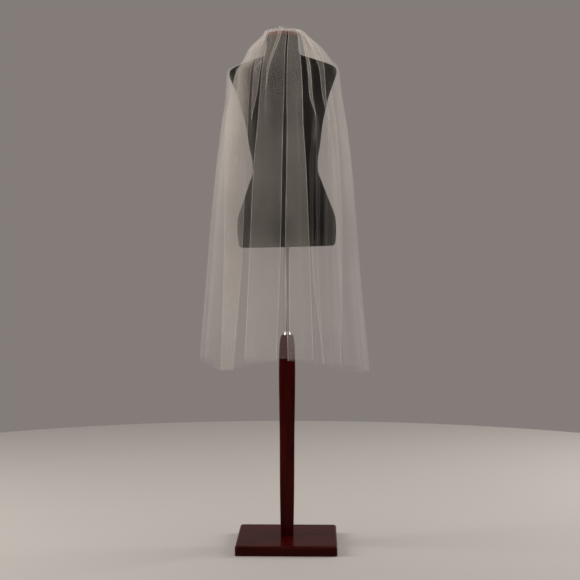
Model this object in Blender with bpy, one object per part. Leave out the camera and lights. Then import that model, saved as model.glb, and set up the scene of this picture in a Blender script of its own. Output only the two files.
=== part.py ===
"""A bridal veil of plain tulle on a dress form: one gathered tier on a comb, a torso and its stand."""

import math

import bmesh
import bpy
import numpy as np

# Sizes in metres. X is to the right, Y goes away from the viewer, Z is up.
# The origin is the middle of the base's underside.
GAP = 0.0003
SHARP_EDGE = math.radians(40)

BASE_SIDE = 0.350
BASE_HEIGHT = 0.034
BASE_CORNER = 0.008
BASE_BEVEL = 0.009

POST_TOP = 0.742
POST_CORNER = 0.22
POST_CORNER_POINTS = 6
BORE_RADIUS = 0.0098
BORE_FLOOR = 0.280

ROD_RADIUS = 0.0095
ROD_FOOT = 0.572
ROD_SIDES = 32
ROD_BEVEL = 0.001
SOCKET_DEPTH = 0.060

# Radius of the collar at each height over its foot.
COLLAR_HEIGHT = 0.012
COLLAR_PROFILE = ((0.0125, 0.0), (0.0125, 0.003), (0.0112, 0.006), (0.0108, COLLAR_HEIGHT))

FORM_BOTTOM = 1.052
FORM_LEAN = math.radians(1.37)
FORM_SIDES = 32
NECK_TOP = 0.732

CAP_RADIUS = 0.054
CAP_EDGE = 0.006
CAP_DOME = 0.0135
CAP_RINGS = (18, 36, 54, 72, 86)

COMB_HALF = 0.044
COMB_BAR_BACK = 0.004
COMB_THICK = 0.0024
COMB_REST = 0.0012
COMB_TEETH = 20
TOOTH_LENGTH = 0.030
TOOTH_ROWS = (0, 0.33, 0.67, 1)

# The heading's waves swing less at their top, and its height has a few lumps.
HEADING_WAVES = 22
HEADING_INSET = 0.001
HEADING_DRAWN_IN = 0.4
HEADING_LUMP = 0.25
HEADING_LUMPS = 3
HEADING_SWING = 0.0032
HEADING_MIDDLE = -0.0015
HEADING_HEIGHT = 0.0058

# The wall of the cloth, the distance between its layers, and how far a fold's
# nose bulges. A pleat keeps room round its noses, and covers at least so many of
# them where it lies open and where it is folded flat.
CLOTH = 0.0012
PITCH = 0.0031
PITCH_AT_COMB = 0.0025
PITCH_GROWN = 2
NOSE = 0.0019
NOSE_ROOM = 1.3
LEAST_COVER_OPEN = 5.0
LEAST_COVER_SHUT = 2.5

# Half the post's width at each height above the floor.
POST_SECTIONS = (
    ("foot", 0.0343, 0.0225),
    ("ankle", 0.1180, 0.0239),
    ("low", 0.2200, 0.0252),
    ("middle", 0.3800, 0.0258),
    ("high", 0.4900, 0.0273),
    ("widest", 0.6050, 0.0285),
    ("shoulder", 0.6900, 0.0272),
    ("neck", 0.7180, 0.0252),
    ("round", 0.7340, 0.0228),
    ("top", 0.7420, 0.0200),
)

# Sections of the torso in mm: height over its lower edge, half width, depth
# towards the viewer, depth away from the viewer.
TORSO_SECTIONS = (
    ("lower edge", 0, 161, 105, 91),
    ("edge round", 7, 168, 111, 96),
    ("seat", 60, 173, 119, 100),
    ("hip", 93, 171.5, 118, 100),
    ("high hip", 160, 150, 102, 94),
    ("belly", 220, 128.5, 84, 86),
    ("waist", 268, 113.8, 74, 82),
    ("rib", 292, 113.9, 75, 84),
    ("under bust", 352, 123.5, 86, 99),
    ("bust", 430, 135, 99, 123),
    ("over bust", 480, 147, 104, 118),
    ("chest", 520, 157.5, 102, 103),
    ("armhole", 562, 173, 94, 84),
    ("tip", 606, 187.2, 77, 67),
    ("tip top", 617, 185.5, 72, 64),
    ("slope out", 627, 174, 67, 61),
    ("slope", 642, 137.5, 62, 58),
    ("slope in", 656, 97, 58.5, 56),
    ("neck root", 667, 64.5, 55.5, 54.5),
    ("neck low", 676, 58, 54.5, 53.5),
    ("neck", 700, 55, 53.5, 53),
    ("neck top", 732, 54.5, 53.5, 53),
)
EXTRA_RINGS = (0.030, 0.125, 0.190, 0.322, 0.390, 0.541, 0.585)

# The cloth is worked out at these levels, from the comb down. In mm: height at
# the middle and at the sides, left and right reach, depth towards the viewer
# and away from the viewer.
LEVELS = ("comb", "dome", "rim", "neck", "shoulder", "tip", "blade", "bust", "waist", "hip", "hem")
DRAPE = {
    "middle height": (1806, 1803, 1779, 1744, 1694, 1655, 1573, 1482, 1342, 1073, 670),
    "left height": (1796, 1789, 1776, 1745, 1692, 1661, 1573, 1482, 1342, 1073, 640),
    "right height": (1799, 1792, 1778, 1748, 1699, 1675, 1573, 1482, 1342, 1073, 640),
    "left reach": (-75, -80, -95, -131, -162, -209, -213, -226, -243, -269, -302),
    "right reach": (43, 57, 80, 118, 158, 178, 190, 204, 220, 241, 281),
    "near depth": (6.6, 50, 66, 72, 84, 98, 114, 119, 124, 131, 139),
    "far depth": (6.6, 22, 46, 62, 78, 92, 120, 134, 136, 138, 145),
    "left free edge": (-69, -72, -80, -92, -98, -100, -102, -104, -107, -111, -120),
    "right free edge": (32, 46, 60, 78, 96, 108, 124, 136, 148, 156, 166),
}

# How square the outline is, how soon the cloth sinks from the middle to the
# sides, and how near the outermost left or right an edge may come.
SQUARENESS = 2.6
SINKING = 1.5
OUTERMOST = 0.9995

# How far up a pleat's climb its three bend points are, first where it lies open
# and then where it is folded flat.
BEND_SHARES = ((0.0, 0.02), (0.18, 0.25), (0.36, 0.48))
HEM = {"left free edge": 628, "left side": 661, "right side": 616, "right free edge": 622}
HEM_SIDE_SPREAD = 0.23

# One folded-over pleat a row: the layer it starts on, how many layers the cloth
# climbs across it, whether it lasts to the hem, its columns of points where it
# is covered and in the open before it, then its right and left edge in mm at
# each level, each with its height at the hem.
PLEATS = (
    ("side", 0, 2, True, 3, 10, (-64, -67, -72, -95, -112, -121, -127, -131, -137, -149, -183), 630,
     (-69, -73, -83, -116, -143, -168, -191, -206, -209, -212, -223), 630),
    ("left shoulder", 2, -2, True, 1, 1,
     (-57, -58, -60, -76, -84, -89, -100, -119, -130, -142, -170), 640,
     (-62, -63, -67, -90, -107, -113, -117, -119, -117, -128, -148), 648),
    ("left panel", 0, 2, True, 3, 1, (-5, -1, -1, -4, -6, -7, -8, -11, -14, -19, -34), 662,
     (-54, -55, -57, -71, -79, -84, -90, -97, -110, -123, -141), 674),
    ("neck", 2, 2, False, 1, 0, (-15, -16, -20, -32, -50, -60, -70, -74, -72, -76, -82), 674,
     (-25, -25, -30, -40, -57, -66, -70, -66, -62, -62, -68), 674),
    ("right panel", 2, -2, True, 3, 2, (17, 29, 39, 44, 48, 51, 55, 57, 66, 78, 92), 668,
     (1, 5, 6, 3, 2, 1, 1, 2, 1, -3, 6), 664),
    ("right blade", 0, 2, True, 1, 1, (25, 40, 55, 65, 77, 83, 89, 101, 90, 90, 105), 652,
     (20.5, 34, 47, 56, 67, 72, 78, 101, 103, 105, 125), 650),
    ("right shoulder", 2, -2, True, 1, 2, (33, 50, 70, 98, 122, 128, 133, 144, 141, 136, 152), 636,
     (28.5, 44, 62, 82, 101, 112, 122, 144, 163, 163, 190), 624),
    ("far side", 0, 2, True, 4, 10, (29, 42, 53, 60, 64, 66, 70, 74, 78, 84, 128), 626,
     (40, 55, 71, 92, 122, 140, 158, 170, 182, 192, 189), 626),
)

# The pleat at the neck opens out between these levels.
NECK_PLEAT_ENDS = 7.5
NECK_PLEAT_FADE = 1.5

# Soft waves down the two sides: where round the drape, in quarter turns from
# the front, how wide, and how far they swing at the hem in mm.
SIDE_WAVES = (
    ("far left", -1.42, 0.10, 9),
    ("left edge", -1.10, 0.09, -8),
    ("near left", -0.86, 0.07, 8),
    ("near right", 0.80, 0.09, -8),
    ("right edge", 1.02, 0.08, 9),
    ("far right", 1.26, 0.09, -8),
)
WAVES_START = 5

# The levels at which the cloth gets a row of points, and the small steps in
# level and in quarter turns that give its directions.
ROW_DROPS = (0, 0.4, 0.8, 1.2, 1.6, 2, 3, 4, 4.5, 5, 6, 7, 8, 9, 9.5, 10)
LEVEL_STEP = 0.1
TURN_STEP = 0.012


def clear_scene():
    for item in list(bpy.data.objects):
        bpy.data.objects.remove(item, do_unlink=True)


def finish(name, colour, roughness, metallic=0.0):
    material = bpy.data.materials.new(name)
    material.use_nodes = True
    shader = material.node_tree.nodes["Principled BSDF"]
    shader.inputs["Base Color"].default_value = (*colour, 1.0)
    shader.inputs["Roughness"].default_value = roughness
    shader.inputs["Metallic"].default_value = metallic
    return material


def add_solid(name, shape, material, smooth=True):
    """Makes one named object from a bmesh, with its faces pointing outwards."""
    bmesh.ops.recalc_face_normals(shape, faces=shape.faces)
    mesh = bpy.data.meshes.new(name)
    shape.to_mesh(mesh)
    shape.free()
    mesh.materials.append(material)
    if smooth:
        mesh.shade_smooth()
        mesh.set_sharp_from_angle(angle=SHARP_EDGE)
    solid = bpy.data.objects.new(name, mesh)
    bpy.context.scene.collection.objects.link(solid)
    return solid


def loft(rings, closed=False):
    """Joins rings of equally many points. An open stack gets a flat face at each end."""
    shape = bmesh.new()
    rows = [[shape.verts.new(point) for point in ring] for ring in rings]
    pairs = list(zip(rows, rows[1:]))
    if closed:
        pairs.append((rows[-1], rows[0]))
    for low, high in pairs:
        for i in range(len(low)):
            j = (i + 1) % len(low)
            shape.faces.new((low[i], low[j], high[j], high[i]))
    if not closed:
        shape.faces.new(list(reversed(rows[0])))
        shape.faces.new(rows[-1])
    return shape


def circle(radius, height, sides):
    turns = (2 * math.pi * i / sides for i in range(sides))
    return [(radius * math.cos(turn), radius * math.sin(turn), height) for turn in turns]


def steady_curve(stations, values, wanted):
    """Reads a smooth curve through the values, which never overshoots them."""
    x, y = np.asarray(stations, float), np.asarray(values, float)
    step = np.diff(x)
    rise = np.diff(y) / step
    slope = np.zeros(len(x))
    slope[0], slope[-1] = rise[0], rise[-1]
    for i in range(1, len(x) - 1):
        if rise[i - 1] * rise[i] > 0:
            before = 2 * step[i] + step[i - 1]
            after = step[i] + 2 * step[i - 1]
            slope[i] = (before + after) / (before / rise[i - 1] + after / rise[i])
    wanted = np.clip(np.asarray(wanted, float), x[0], x[-1])
    k = np.clip(np.searchsorted(x, wanted, side="right") - 1, 0, len(x) - 2)
    h = step[k]
    s = (wanted - x[k]) / h
    return (
        y[k] * (1 + 2 * s) * (1 - s) ** 2
        + h * slope[k] * s * (1 - s) ** 2
        + y[k + 1] * s * s * (3 - 2 * s)
        + h * slope[k + 1] * s * s * (s - 1)
    )


def leaning(u, v, h):
    """Turns a point of the upright torso into its leaning place on the rod."""
    x = u * math.cos(FORM_LEAN) - h * math.sin(FORM_LEAN)
    z = FORM_BOTTOM + u * math.sin(FORM_LEAN) + h * math.cos(FORM_LEAN)
    return (x, v, z)


def make_base(wood):
    shape = bmesh.new()
    bmesh.ops.create_cube(shape, size=1.0)
    bmesh.ops.scale(shape, vec=(BASE_SIDE, BASE_SIDE, BASE_HEIGHT), verts=shape.verts)
    bmesh.ops.translate(shape, vec=(0, 0, BASE_HEIGHT / 2), verts=shape.verts)
    upright = [e for e in shape.edges if abs(e.verts[0].co.z - e.verts[1].co.z) > BASE_HEIGHT / 2]
    bmesh.ops.bevel(shape, geom=upright, offset=BASE_CORNER, segments=3, affect="EDGES", profile=0.5)
    rim = [e for e in shape.edges if min(v.co.z for v in e.verts) > BASE_HEIGHT - 1e-5]
    bmesh.ops.bevel(shape, geom=rim, offset=BASE_BEVEL, segments=4, affect="EDGES", profile=0.5)
    return add_solid("base_slab", shape, wood)


def post_ring(half, height):
    """A square section with rounded corners."""
    radius = half * POST_CORNER
    step = math.pi / 2 / (POST_CORNER_POINTS - 1)
    points = []
    for corner in range(4):
        middle = math.pi / 4 + corner * math.pi / 2
        cx = (half - radius) * math.copysign(1, math.cos(middle))
        cy = (half - radius) * math.copysign(1, math.sin(middle))
        for i in range(POST_CORNER_POINTS):
            turn = corner * math.pi / 2 + i * step
            points.append((cx + radius * math.cos(turn), cy + radius * math.sin(turn), height))
    return points


def make_post(wood):
    """The tapered post, with the blind bore that the rod slides in."""
    outer = [post_ring(half, height) for _, height, half in POST_SECTIONS]
    bore = [circle(BORE_RADIUS, height, 4 * POST_CORNER_POINTS) for height in (POST_TOP, BORE_FLOOR)]
    return add_solid("post", loft(outer + bore), wood)


def make_collar(steel):
    foot = POST_TOP + GAP
    rings = [circle(radius, foot + rise, ROD_SIDES) for radius, rise in COLLAR_PROFILE]
    rings += [circle(BORE_RADIUS, foot + rise, ROD_SIDES) for rise in (COLLAR_HEIGHT, 0.0)]
    return add_solid("collar", loft(rings, closed=True), steel)


def make_rod(steel):
    top = FORM_BOTTOM + SOCKET_DEPTH - GAP
    rings = [
        circle(ROD_RADIUS - ROD_BEVEL, ROD_FOOT, ROD_SIDES),
        circle(ROD_RADIUS, ROD_FOOT + ROD_BEVEL, ROD_SIDES),
        circle(ROD_RADIUS, top, ROD_SIDES),
    ]
    return add_solid("rod", loft(rings), steel)


def torso_ring(height, half, near, far):
    points = []
    for i in range(FORM_SIDES):
        turn = 2 * math.pi * i / FORM_SIDES
        u, v = math.cos(turn), math.sin(turn)
        depth = far if v > 0 else near
        points.append(leaning(half * u, depth * v, height))
    return points


def make_torso(jersey):
    """The torso, with the socket in its underside that sits on the rod."""
    table = np.array([row[1:] for row in TORSO_SECTIONS]) / 1000
    heights = sorted(set(table[:, 0]) | set(EXTRA_RINGS))
    columns = [steady_curve(table[:, 0], table[:, c], heights) for c in (1, 2, 3)]
    socket = [circle(BORE_RADIUS, FORM_BOTTOM + rise, FORM_SIDES) for rise in (SOCKET_DEPTH, 0.0)]
    body = [torso_ring(h, *row) for h, row in zip(heights, zip(*columns))]
    return add_solid("torso", loft(socket + body), jersey)


def cap_height(reach):
    """Height of the cap's dome over the torso's lower edge, at a distance from its middle."""
    inner = min(reach / CAP_RADIUS, 1.0)
    return NECK_TOP + CAP_EDGE + CAP_DOME * math.sqrt(1 - inner * inner)


def make_cap(wood):
    foot = NECK_TOP + GAP
    profile = [(CAP_RADIUS, foot), (CAP_RADIUS, NECK_TOP + CAP_EDGE)]
    for degrees in CAP_RINGS:
        reach = CAP_RADIUS * math.cos(math.radians(degrees))
        profile.append((reach, cap_height(reach)))
    rings = [[leaning(x, y, h) for x, y, h in circle(r, h, FORM_SIDES)] for r, h in profile]
    return add_solid("neck_cap", loft(rings), wood)


def comb_front(u):
    """How far the comb's bar reaches towards the viewer, just behind the gathered cloth."""
    half = (DRAPE["right reach"][0] - DRAPE["left reach"][0]) / 2000
    depth = DRAPE["near depth"][0] / 1000
    inner = min(abs(u) / half, 1.0)
    return -depth * (1 - inner**SQUARENESS) ** (1 / SQUARENESS) + CLOTH / 2 + GAP


def make_comb(metal):
    """A bar with a row of teeth, bent to lie on the cap."""
    slots = 2 * COMB_TEETH - 1
    width = 2 * COMB_HALF / slots
    edges = [-COMB_HALF + i * width for i in range(slots + 1)]
    lengths = [COMB_BAR_BACK + TOOTH_LENGTH * share for share in TOOTH_ROWS]
    shape = bmesh.new()
    corners = {}

    def corner(i, row, side):
        key = (i, row, side)
        if key not in corners:
            v = comb_front(edges[i]) if row == 0 else lengths[row - 1]
            u = edges[i]
            height = cap_height(math.hypot(u, v)) + COMB_REST + side * COMB_THICK
            corners[key] = shape.verts.new(leaning(u, v, height))
        return corners[key]

    cells = [(i, 0) for i in range(slots)]
    cells += [(2 * tooth, row) for tooth in range(COMB_TEETH) for row in (1, 2, 3)]
    filled = set(cells)
    for i, row in cells:
        for side in (0, 1):
            here, beside = corner(i, row, side), corner(i + 1, row, side)
            across, ahead = corner(i + 1, row + 1, side), corner(i, row + 1, side)
            shape.faces.new([here, beside, across, ahead])
        walls = (
            ((i, row - 1), (i, row), (i + 1, row)),
            ((i, row + 1), (i, row + 1), (i + 1, row + 1)),
            ((i - 1, row), (i, row), (i, row + 1)),
            ((i + 1, row), (i + 1, row), (i + 1, row + 1)),
        )
        for neighbour, a, b in walls:
            if neighbour not in filled:
                shape.faces.new([corner(*a, 0), corner(*b, 0), corner(*b, 1), corner(*a, 1)])
    return add_solid("comb", shape, metal, smooth=False)


def thick_sheet(middle, thickness):
    """Gives a grid of points a wall, half to each side, closed all round its edge."""
    along = np.gradient(middle, axis=0)
    across = np.gradient(middle, axis=1)
    normal = np.cross(along, across)
    normal /= np.linalg.norm(normal, axis=2, keepdims=True)
    shape = bmesh.new()
    sides = []
    for sign in (0.5, -0.5):
        grid = middle + sign * thickness * normal
        sides.append([[shape.verts.new(point) for point in row] for row in grid])
    rows, columns = middle.shape[:2]
    for r in range(rows - 1):
        for c in range(columns - 1):
            for side, turn in zip(sides, (1, -1)):
                corner, across = side[r][c], side[r][c + 1]
                down, far = side[r + 1][c], side[r + 1][c + 1]
                shape.faces.new([corner, across, far][::turn])
                shape.faces.new([corner, far, down][::turn])
    front, back = sides
    border = [(0, c) for c in range(columns)]
    border += [(r, columns - 1) for r in range(1, rows)]
    border += [(rows - 1, c) for c in range(columns - 2, -1, -1)]
    border += [(r, 0) for r in range(rows - 2, 0, -1)]
    for (r0, c0), (r1, c1) in zip(border, border[1:] + border[:1]):
        shape.faces.new([front[r0][c0], front[r1][c1], back[r1][c1], back[r0][c0]])
    return shape


def make_heading(tulle):
    """The gathered top of the cloth, standing in small waves on the comb's bar."""
    columns = np.linspace(-1, 1, HEADING_WAVES * 4 + 1)
    rows = []
    for rise in (0.0, 0.5, 1.0):
        row = []
        for i, share in enumerate(columns):
            u = share * (COMB_HALF - HEADING_INSET)
            swing = HEADING_SWING * (1 - HEADING_DRAWN_IN * rise)
            v = HEADING_MIDDLE + swing * math.sin(i * math.pi / 2)
            lump = 1 + HEADING_LUMP * math.cos(share * HEADING_LUMPS * math.pi)
            foot = cap_height(abs(u)) + COMB_REST + COMB_THICK + 2 * GAP
            row.append(leaning(u, v, foot + rise * HEADING_HEIGHT * lump))
        rows.append(row)
    return add_solid("gathered_heading", thick_sheet(np.array(rows), CLOTH), tulle)


class Drape:
    """The outline that the cloth follows round the form at one level, worked out from the table."""

    def __init__(self, drop):
        read = {key: steady_curve(range(len(LEVELS)), row, drop) / 1000 for key, row in DRAPE.items()}
        self.middle = float(read["middle height"])
        self.sides = (float(read["left height"]), float(read["right height"]))
        self.near = float(read["near depth"])
        self.far = float(read["far depth"])
        left, right = float(read["left reach"]), float(read["right reach"])
        self.centre = (left + right) / 2
        self.half = (right - left) / 2
        self.girth = math.hypot(self.half, self.near) * math.pi / 2
        self.start = -2 - self.turn_of(float(read["left free edge"]))
        self.end = 2 - self.turn_of(float(read["right free edge"]))

    def turn_of(self, x):
        """Quarter turns from the front at which the outline reaches x."""
        inner = max(-OUTERMOST, min(OUTERMOST, (x - self.centre) / self.half))
        straight = math.copysign(abs(inner) ** (SQUARENESS / 2), inner)
        return math.asin(straight) * 2 / math.pi

    def place(self, turn):
        across, deep = math.sin(turn * math.pi / 2), -math.cos(turn * math.pi / 2)
        depth = self.near if deep < 0 else self.far
        x = self.centre + self.half * math.copysign(abs(across) ** (2 / SQUARENESS), across)
        y = depth * math.copysign(abs(deep) ** (2 / SQUARENESS), deep)
        side = self.sides[1 if turn > 0 else 0]
        height = side + (self.middle - side) * abs(deep) ** SINKING
        return np.array((x, y, height))


class Level:
    """A drape with the directions out of it and along it."""

    def __init__(self, drop):
        self.drape = Drape(drop)
        self.above = Drape(max(0.0, drop - LEVEL_STEP))
        self.below = Drape(min(len(LEVELS) - 1.0, drop + LEVEL_STEP))

    def frame(self, turn):
        along = self.drape.place(turn + TURN_STEP) - self.drape.place(turn - TURN_STEP)
        along /= np.linalg.norm(along)
        out = np.cross(along, self.above.place(turn) - self.below.place(turn))
        return self.drape.place(turn), out / np.linalg.norm(out), along


def pleat_edge(drape, name, edge, drop):
    turn = drape.turn_of(float(steady_curve(range(len(LEVELS)), edge, drop)) / 1000)
    return 2 - turn if name == "far side" else turn


def side_hem(turn, hem):
    """Draws the hem towards its height at the outermost left or right."""
    for side, sign in (("left side", -1), ("right side", 1)):
        reach = max(0.0, math.sin(turn * sign * math.pi / 2)) ** (2 / SQUARENESS)
        near = max(0.0, 1 - (1 - reach) / HEM_SIDE_SPREAD)
        hem += (HEM[side] / 1000 - hem) * near
    return hem


def run_of_cloth(start, end, start_hem, end_hem, start_layer, end_layer, counts):
    """The cloth between two pleats: what the first covers, an open stretch, and what the next covers."""
    (first, covered_to), (middle, covered_from), last = counts
    bounds = ((start, covered_to, first), (covered_to, covered_from, middle), (covered_from, end, last))
    columns = []
    for part, (low, high, count) in enumerate(bounds):
        for i in range(1, count + 1):
            share = i / (count + 1)
            turn = low + (high - low) * share
            ease = (0, share * share * (3 - 2 * share), 1)[part]
            layer = start_layer + (end_layer - start_layer) * ease
            hem = start_hem + (end_hem - start_hem) * (turn - start) / (end - start)
            columns.append((turn, layer, 0.0, side_hem(turn, hem)))
    return columns


def cloth_columns(drape, drop):
    """Each column of the cloth at a level: its turn, layer, push along the outline, and hem."""
    nose = NOSE_ROOM * NOSE / drape.girth
    turn, hem, layer = drape.start, HEM["left free edge"] / 1000, 0.0
    covered, cover = drape.start, 0
    columns = [(turn, layer, 0.0, hem)]
    for name, under, climb, lasting, inner, opened, right, right_hem, left, left_hem in PLEATS:
        a = pleat_edge(drape, name, right, drop)
        b = pleat_edge(drape, name, left, drop)
        if not lasting:
            climb *= max(0.0, min(1.0, (NECK_PLEAT_ENDS - drop) / NECK_PLEAT_FADE))
        fold = max(-1.0, min(1.0, (a - b) * drape.girth / (2 * NOSE)))
        shut = max(0.0, fold)
        least = (LEAST_COVER_OPEN - (LEAST_COVER_OPEN - LEAST_COVER_SHUT) * shut) * nose
        covered_from = min(b, a - least)
        counts = ((cover, min(covered, covered_from)), (opened, covered_from), inner)
        columns += run_of_cloth(turn, a - nose, hem, right_hem / 1000, layer, under, counts)
        layer = under
        shares = [(1 - shut) * loose + shut * tight for loose, tight in BEND_SHARES]
        flank = NOSE * fold
        bend = [(a, share, push, right_hem) for share, push in zip(shares, (-NOSE, 0.0, -flank))]
        for i in range(1, inner + 1):
            share = i / (inner + 1)
            climbed = shares[2] + (1 - 2 * shares[2]) * share
            bend.append((a + (b - a) * share, climbed, flank * (2 * share - 1), right_hem))
        for share, push in zip(reversed(shares), (flank, 0.0, NOSE)):
            bend.append((b, 1 - share, push, left_hem))
        columns += [(at, layer + climb * share, push, low / 1000) for at, share, push, low in bend]
        layer += climb
        turn, hem, covered, cover = b + nose, left_hem / 1000, max(a, b + least), inner
    end_hem = HEM["right free edge"] / 1000
    counts = ((2, drape.end), (0, drape.end), 0)
    columns += run_of_cloth(turn, drape.end, hem, end_hem, layer, layer, counts)
    columns.append((drape.end, layer, 0.0, end_hem))
    return columns


def side_wave(turn, drop):
    """How far the soft waves of the two sides push the cloth out, growing down to the hem."""
    grown = max(0.0, (drop - WAVES_START) / (len(LEVELS) - 1 - WAVES_START))
    waves = (swing * math.exp(-(((turn - where) / wide) ** 2)) for _, where, wide, swing in SIDE_WAVES)
    return sum(waves) * grown / 1000


def cloth_points(drops):
    """The cloth's middle surface as a grid: a row a level, a column a point across."""
    low = len(LEVELS) - 2
    last = Drape(low)
    grid = []
    for drop in drops:
        level = Level(drop)
        pitch = PITCH - (PITCH - PITCH_AT_COMB) * max(0.0, 1 - drop / PITCH_GROWN)
        row = []
        for turn, layer, push, hem in cloth_columns(level.drape, drop):
            here, out, along = level.frame(turn)
            point = here + out * (layer * pitch + side_wave(turn, drop)) + along * push
            if drop > low:
                high = last.place(turn)[2]
                point[2] = high + (hem - high) * (drop - low)
            row.append(point)
        grid.append(row)
    return np.array(grid)


def make_veil(tulle):
    return add_solid("veil", thick_sheet(cloth_points(ROW_DROPS), CLOTH), tulle)


def main():
    clear_scene()
    wood = finish("mahogany", (0.045, 0.009, 0.005), 0.22)
    steel = finish("steel", (0.55, 0.55, 0.56), 0.28, 1.0)
    jersey = finish("black jersey", (0.012, 0.011, 0.010), 0.85)
    tulle = finish("tulle", (0.86, 0.83, 0.79), 0.6)
    make_base(wood)
    make_post(wood)
    make_collar(steel)
    make_rod(steel)
    make_torso(jersey)
    make_cap(wood)
    make_comb(steel)
    make_heading(tulle)
    make_veil(tulle)


if __name__ == "__main__":
    main()
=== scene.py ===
"""A bridal veil on a dress form: gathered net on a comb, a jersey torso and a lacquered stand."""

import math

import bmesh
import bpy
import numpy as np
from bpy.props import FloatProperty, FloatVectorProperty, IntProperty, PointerProperty
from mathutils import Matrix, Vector


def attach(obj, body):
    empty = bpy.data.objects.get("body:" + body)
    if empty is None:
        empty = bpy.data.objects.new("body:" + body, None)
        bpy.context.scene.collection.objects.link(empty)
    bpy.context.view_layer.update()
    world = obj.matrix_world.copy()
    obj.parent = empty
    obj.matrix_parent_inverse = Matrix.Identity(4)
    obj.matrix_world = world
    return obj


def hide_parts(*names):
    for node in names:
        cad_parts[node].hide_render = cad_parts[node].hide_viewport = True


bl_info = {
    "name": "Bridal veil on a dress form",
    "version": (1, 0, 0),
    "blender": (4, 5, 0),
    "location": "3D View > Sidebar > Veil",
    "description": "Makes a one-tier net veil, its comb, and the dress form and stand that show it",
    "category": "Add Mesh",
}

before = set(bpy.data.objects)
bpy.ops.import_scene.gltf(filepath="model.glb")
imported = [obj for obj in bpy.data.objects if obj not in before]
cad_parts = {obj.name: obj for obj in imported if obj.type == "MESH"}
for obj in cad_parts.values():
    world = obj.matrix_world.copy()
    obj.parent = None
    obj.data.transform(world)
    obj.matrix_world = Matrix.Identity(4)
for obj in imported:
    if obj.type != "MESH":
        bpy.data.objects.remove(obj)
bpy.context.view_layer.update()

# One millimetre, for the tables that give their sizes in mm. Other sizes are in metres.
MM = 0.001

# The torso's own upright frame starts at its lower edge and leans on the rod.
FORM_BOTTOM = 1.052
FORM_LEAN = math.radians(1.37)
NECK_TOP = 0.732
FORM_TURNS = 192
FORM_RINGS = 150
EDGE_TUCK = 0.012
EDGE_RINGS = 7
SOCKET_DEPTH = 0.060
SOCKET_RADIUS = 0.0098

# Seams down the right side, the left side and the middle of the far side, in
# turns round the torso from its right side.
SEAMS = (0.0, 0.5, 0.25)

# How far the mouth of a bore is eased, how deep that goes in the torso, how far
# other hard edges are eased, and the gap between seated pieces.
MOUTH = 0.0006
MOUTH_DEPTH = 0.002
EASE = 0.001
GAP = 0.0003

# The cap's round, the height of its straight edge and of its dome over that.
CAP_RADIUS = 0.054
CAP_EDGE = 0.006
CAP_DOME = 0.0135

# The comb's bar on the cap, its bent wire teeth, and the stitches round the bar.
COMB_HALF = 0.044
COMB_REST = 0.0012
COMB_THICK = 0.0024
TEETH_INSET = 0.002
TOOTH_LENGTH = 0.0335
TOOTH_GAP = 0.0021
WIRE_RADIUS = 0.00055
TOOTH_BEND = 0.48
BAR_RADIUS = 0.0011
BAR_END = 0.0018
STITCH_INSET = 0.003
STITCH_RADIUS = 0.0015
THREAD_RADIUS = 0.00018
STITCH_TILT = (0.25, 0.10, 0.35)

# The gathered heading: its place on the bar, how far it swings, how much of that
# it loses at its top edge, how far that edge strays, and its height with its
# slow and its quick unevenness.
HEADING_MIDDLE = -0.0015
HEADING_SWING = 0.0032
SWING_LOST = 0.4
STRAY = 0.22
HEADING_HEIGHT = 0.0048
SLOW_LUMPS = 0.12
QUICK_LUMPS = 0.06
HEADING_ROWS = 9
POINTS_PER_WAVE = 16

# The square base with its rounded top edge, the foot of the post's bore, the rod.
BASE_HALF = 0.175
BASE_TOP = 0.034
BASE_CORNER = 0.008
BASE_RIM = 0.004
BULLNOSE = 0.009
BULLNOSE_STEPS = 8
BORE_FOOT = 0.280
ROD_FOOT = 0.572
ROD_RADIUS = 0.0095

# Sections of the torso in mm: height over its lower edge, half width, depth
# towards the viewer, depth away from the viewer.
TORSO_SECTIONS = (
    ("lower edge", 0, 161, 105, 91),
    ("edge round", 7, 168, 111, 96),
    ("seat", 60, 173, 119, 100),
    ("hip", 93, 171.5, 118, 100),
    ("high hip", 160, 150, 102, 94),
    ("belly", 220, 128.5, 84, 86),
    ("waist", 268, 113.8, 74, 82),
    ("rib", 292, 113.9, 75, 84),
    ("under bust", 352, 123.5, 86, 99),
    ("bust", 430, 135, 99, 123),
    ("over bust", 480, 147, 104, 118),
    ("chest", 520, 157.5, 102, 103),
    ("armhole", 562, 173, 94, 84),
    ("tip", 606, 187.2, 77, 67),
    ("tip top", 617, 185.5, 72, 64),
    ("slope out", 627, 174, 67, 61),
    ("slope", 642, 137.5, 62, 58),
    ("slope in", 656, 97, 58.5, 56),
    ("neck root", 667, 64.5, 55.5, 54.5),
    ("neck low", 676, 58, 54.5, 53.5),
    ("neck", 700, 55, 53.5, 53),
    ("neck top", 732, 54.5, 53.5, 53),
)

# Half the post's width at each height above the floor, in metres.
POST_SECTIONS = (
    ("foot", 0.0343, 0.0225),
    ("ankle", 0.1180, 0.0239),
    ("low", 0.2200, 0.0252),
    ("middle", 0.3800, 0.0258),
    ("high", 0.4900, 0.0273),
    ("widest", 0.6050, 0.0285),
    ("shoulder", 0.6900, 0.0272),
    ("neck", 0.7180, 0.0252),
    ("round", 0.7340, 0.0228),
    ("top", 0.7420, 0.0200),
)
POST_TOP = POST_SECTIONS[-1][1]
POST_CORNER = 0.22
CORNER_STEPS = 7

# The post's rings, each row from one height to another: its long taper, then
# closer ones round its top.
POST_RINGS = ((0.0343, 0.690, 48), (0.694, 0.740, 22))

# How far the post's top edge is drawn in, each with how far it lies below the top.
POST_RIM = ((0.0008, 0.0006), (0.0022, 0.0))

# Radius and height of each edge of the collar's outer face.
COLLAR_PROFILE = (
    (0.0121, 0.0),
    (0.0125, 0.0004),
    (0.0125, 0.0030),
    (0.0113, 0.0050),
    (0.0111, 0.0065),
    (0.0108, 0.0114),
    (0.0103, 0.0120),
)

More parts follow.
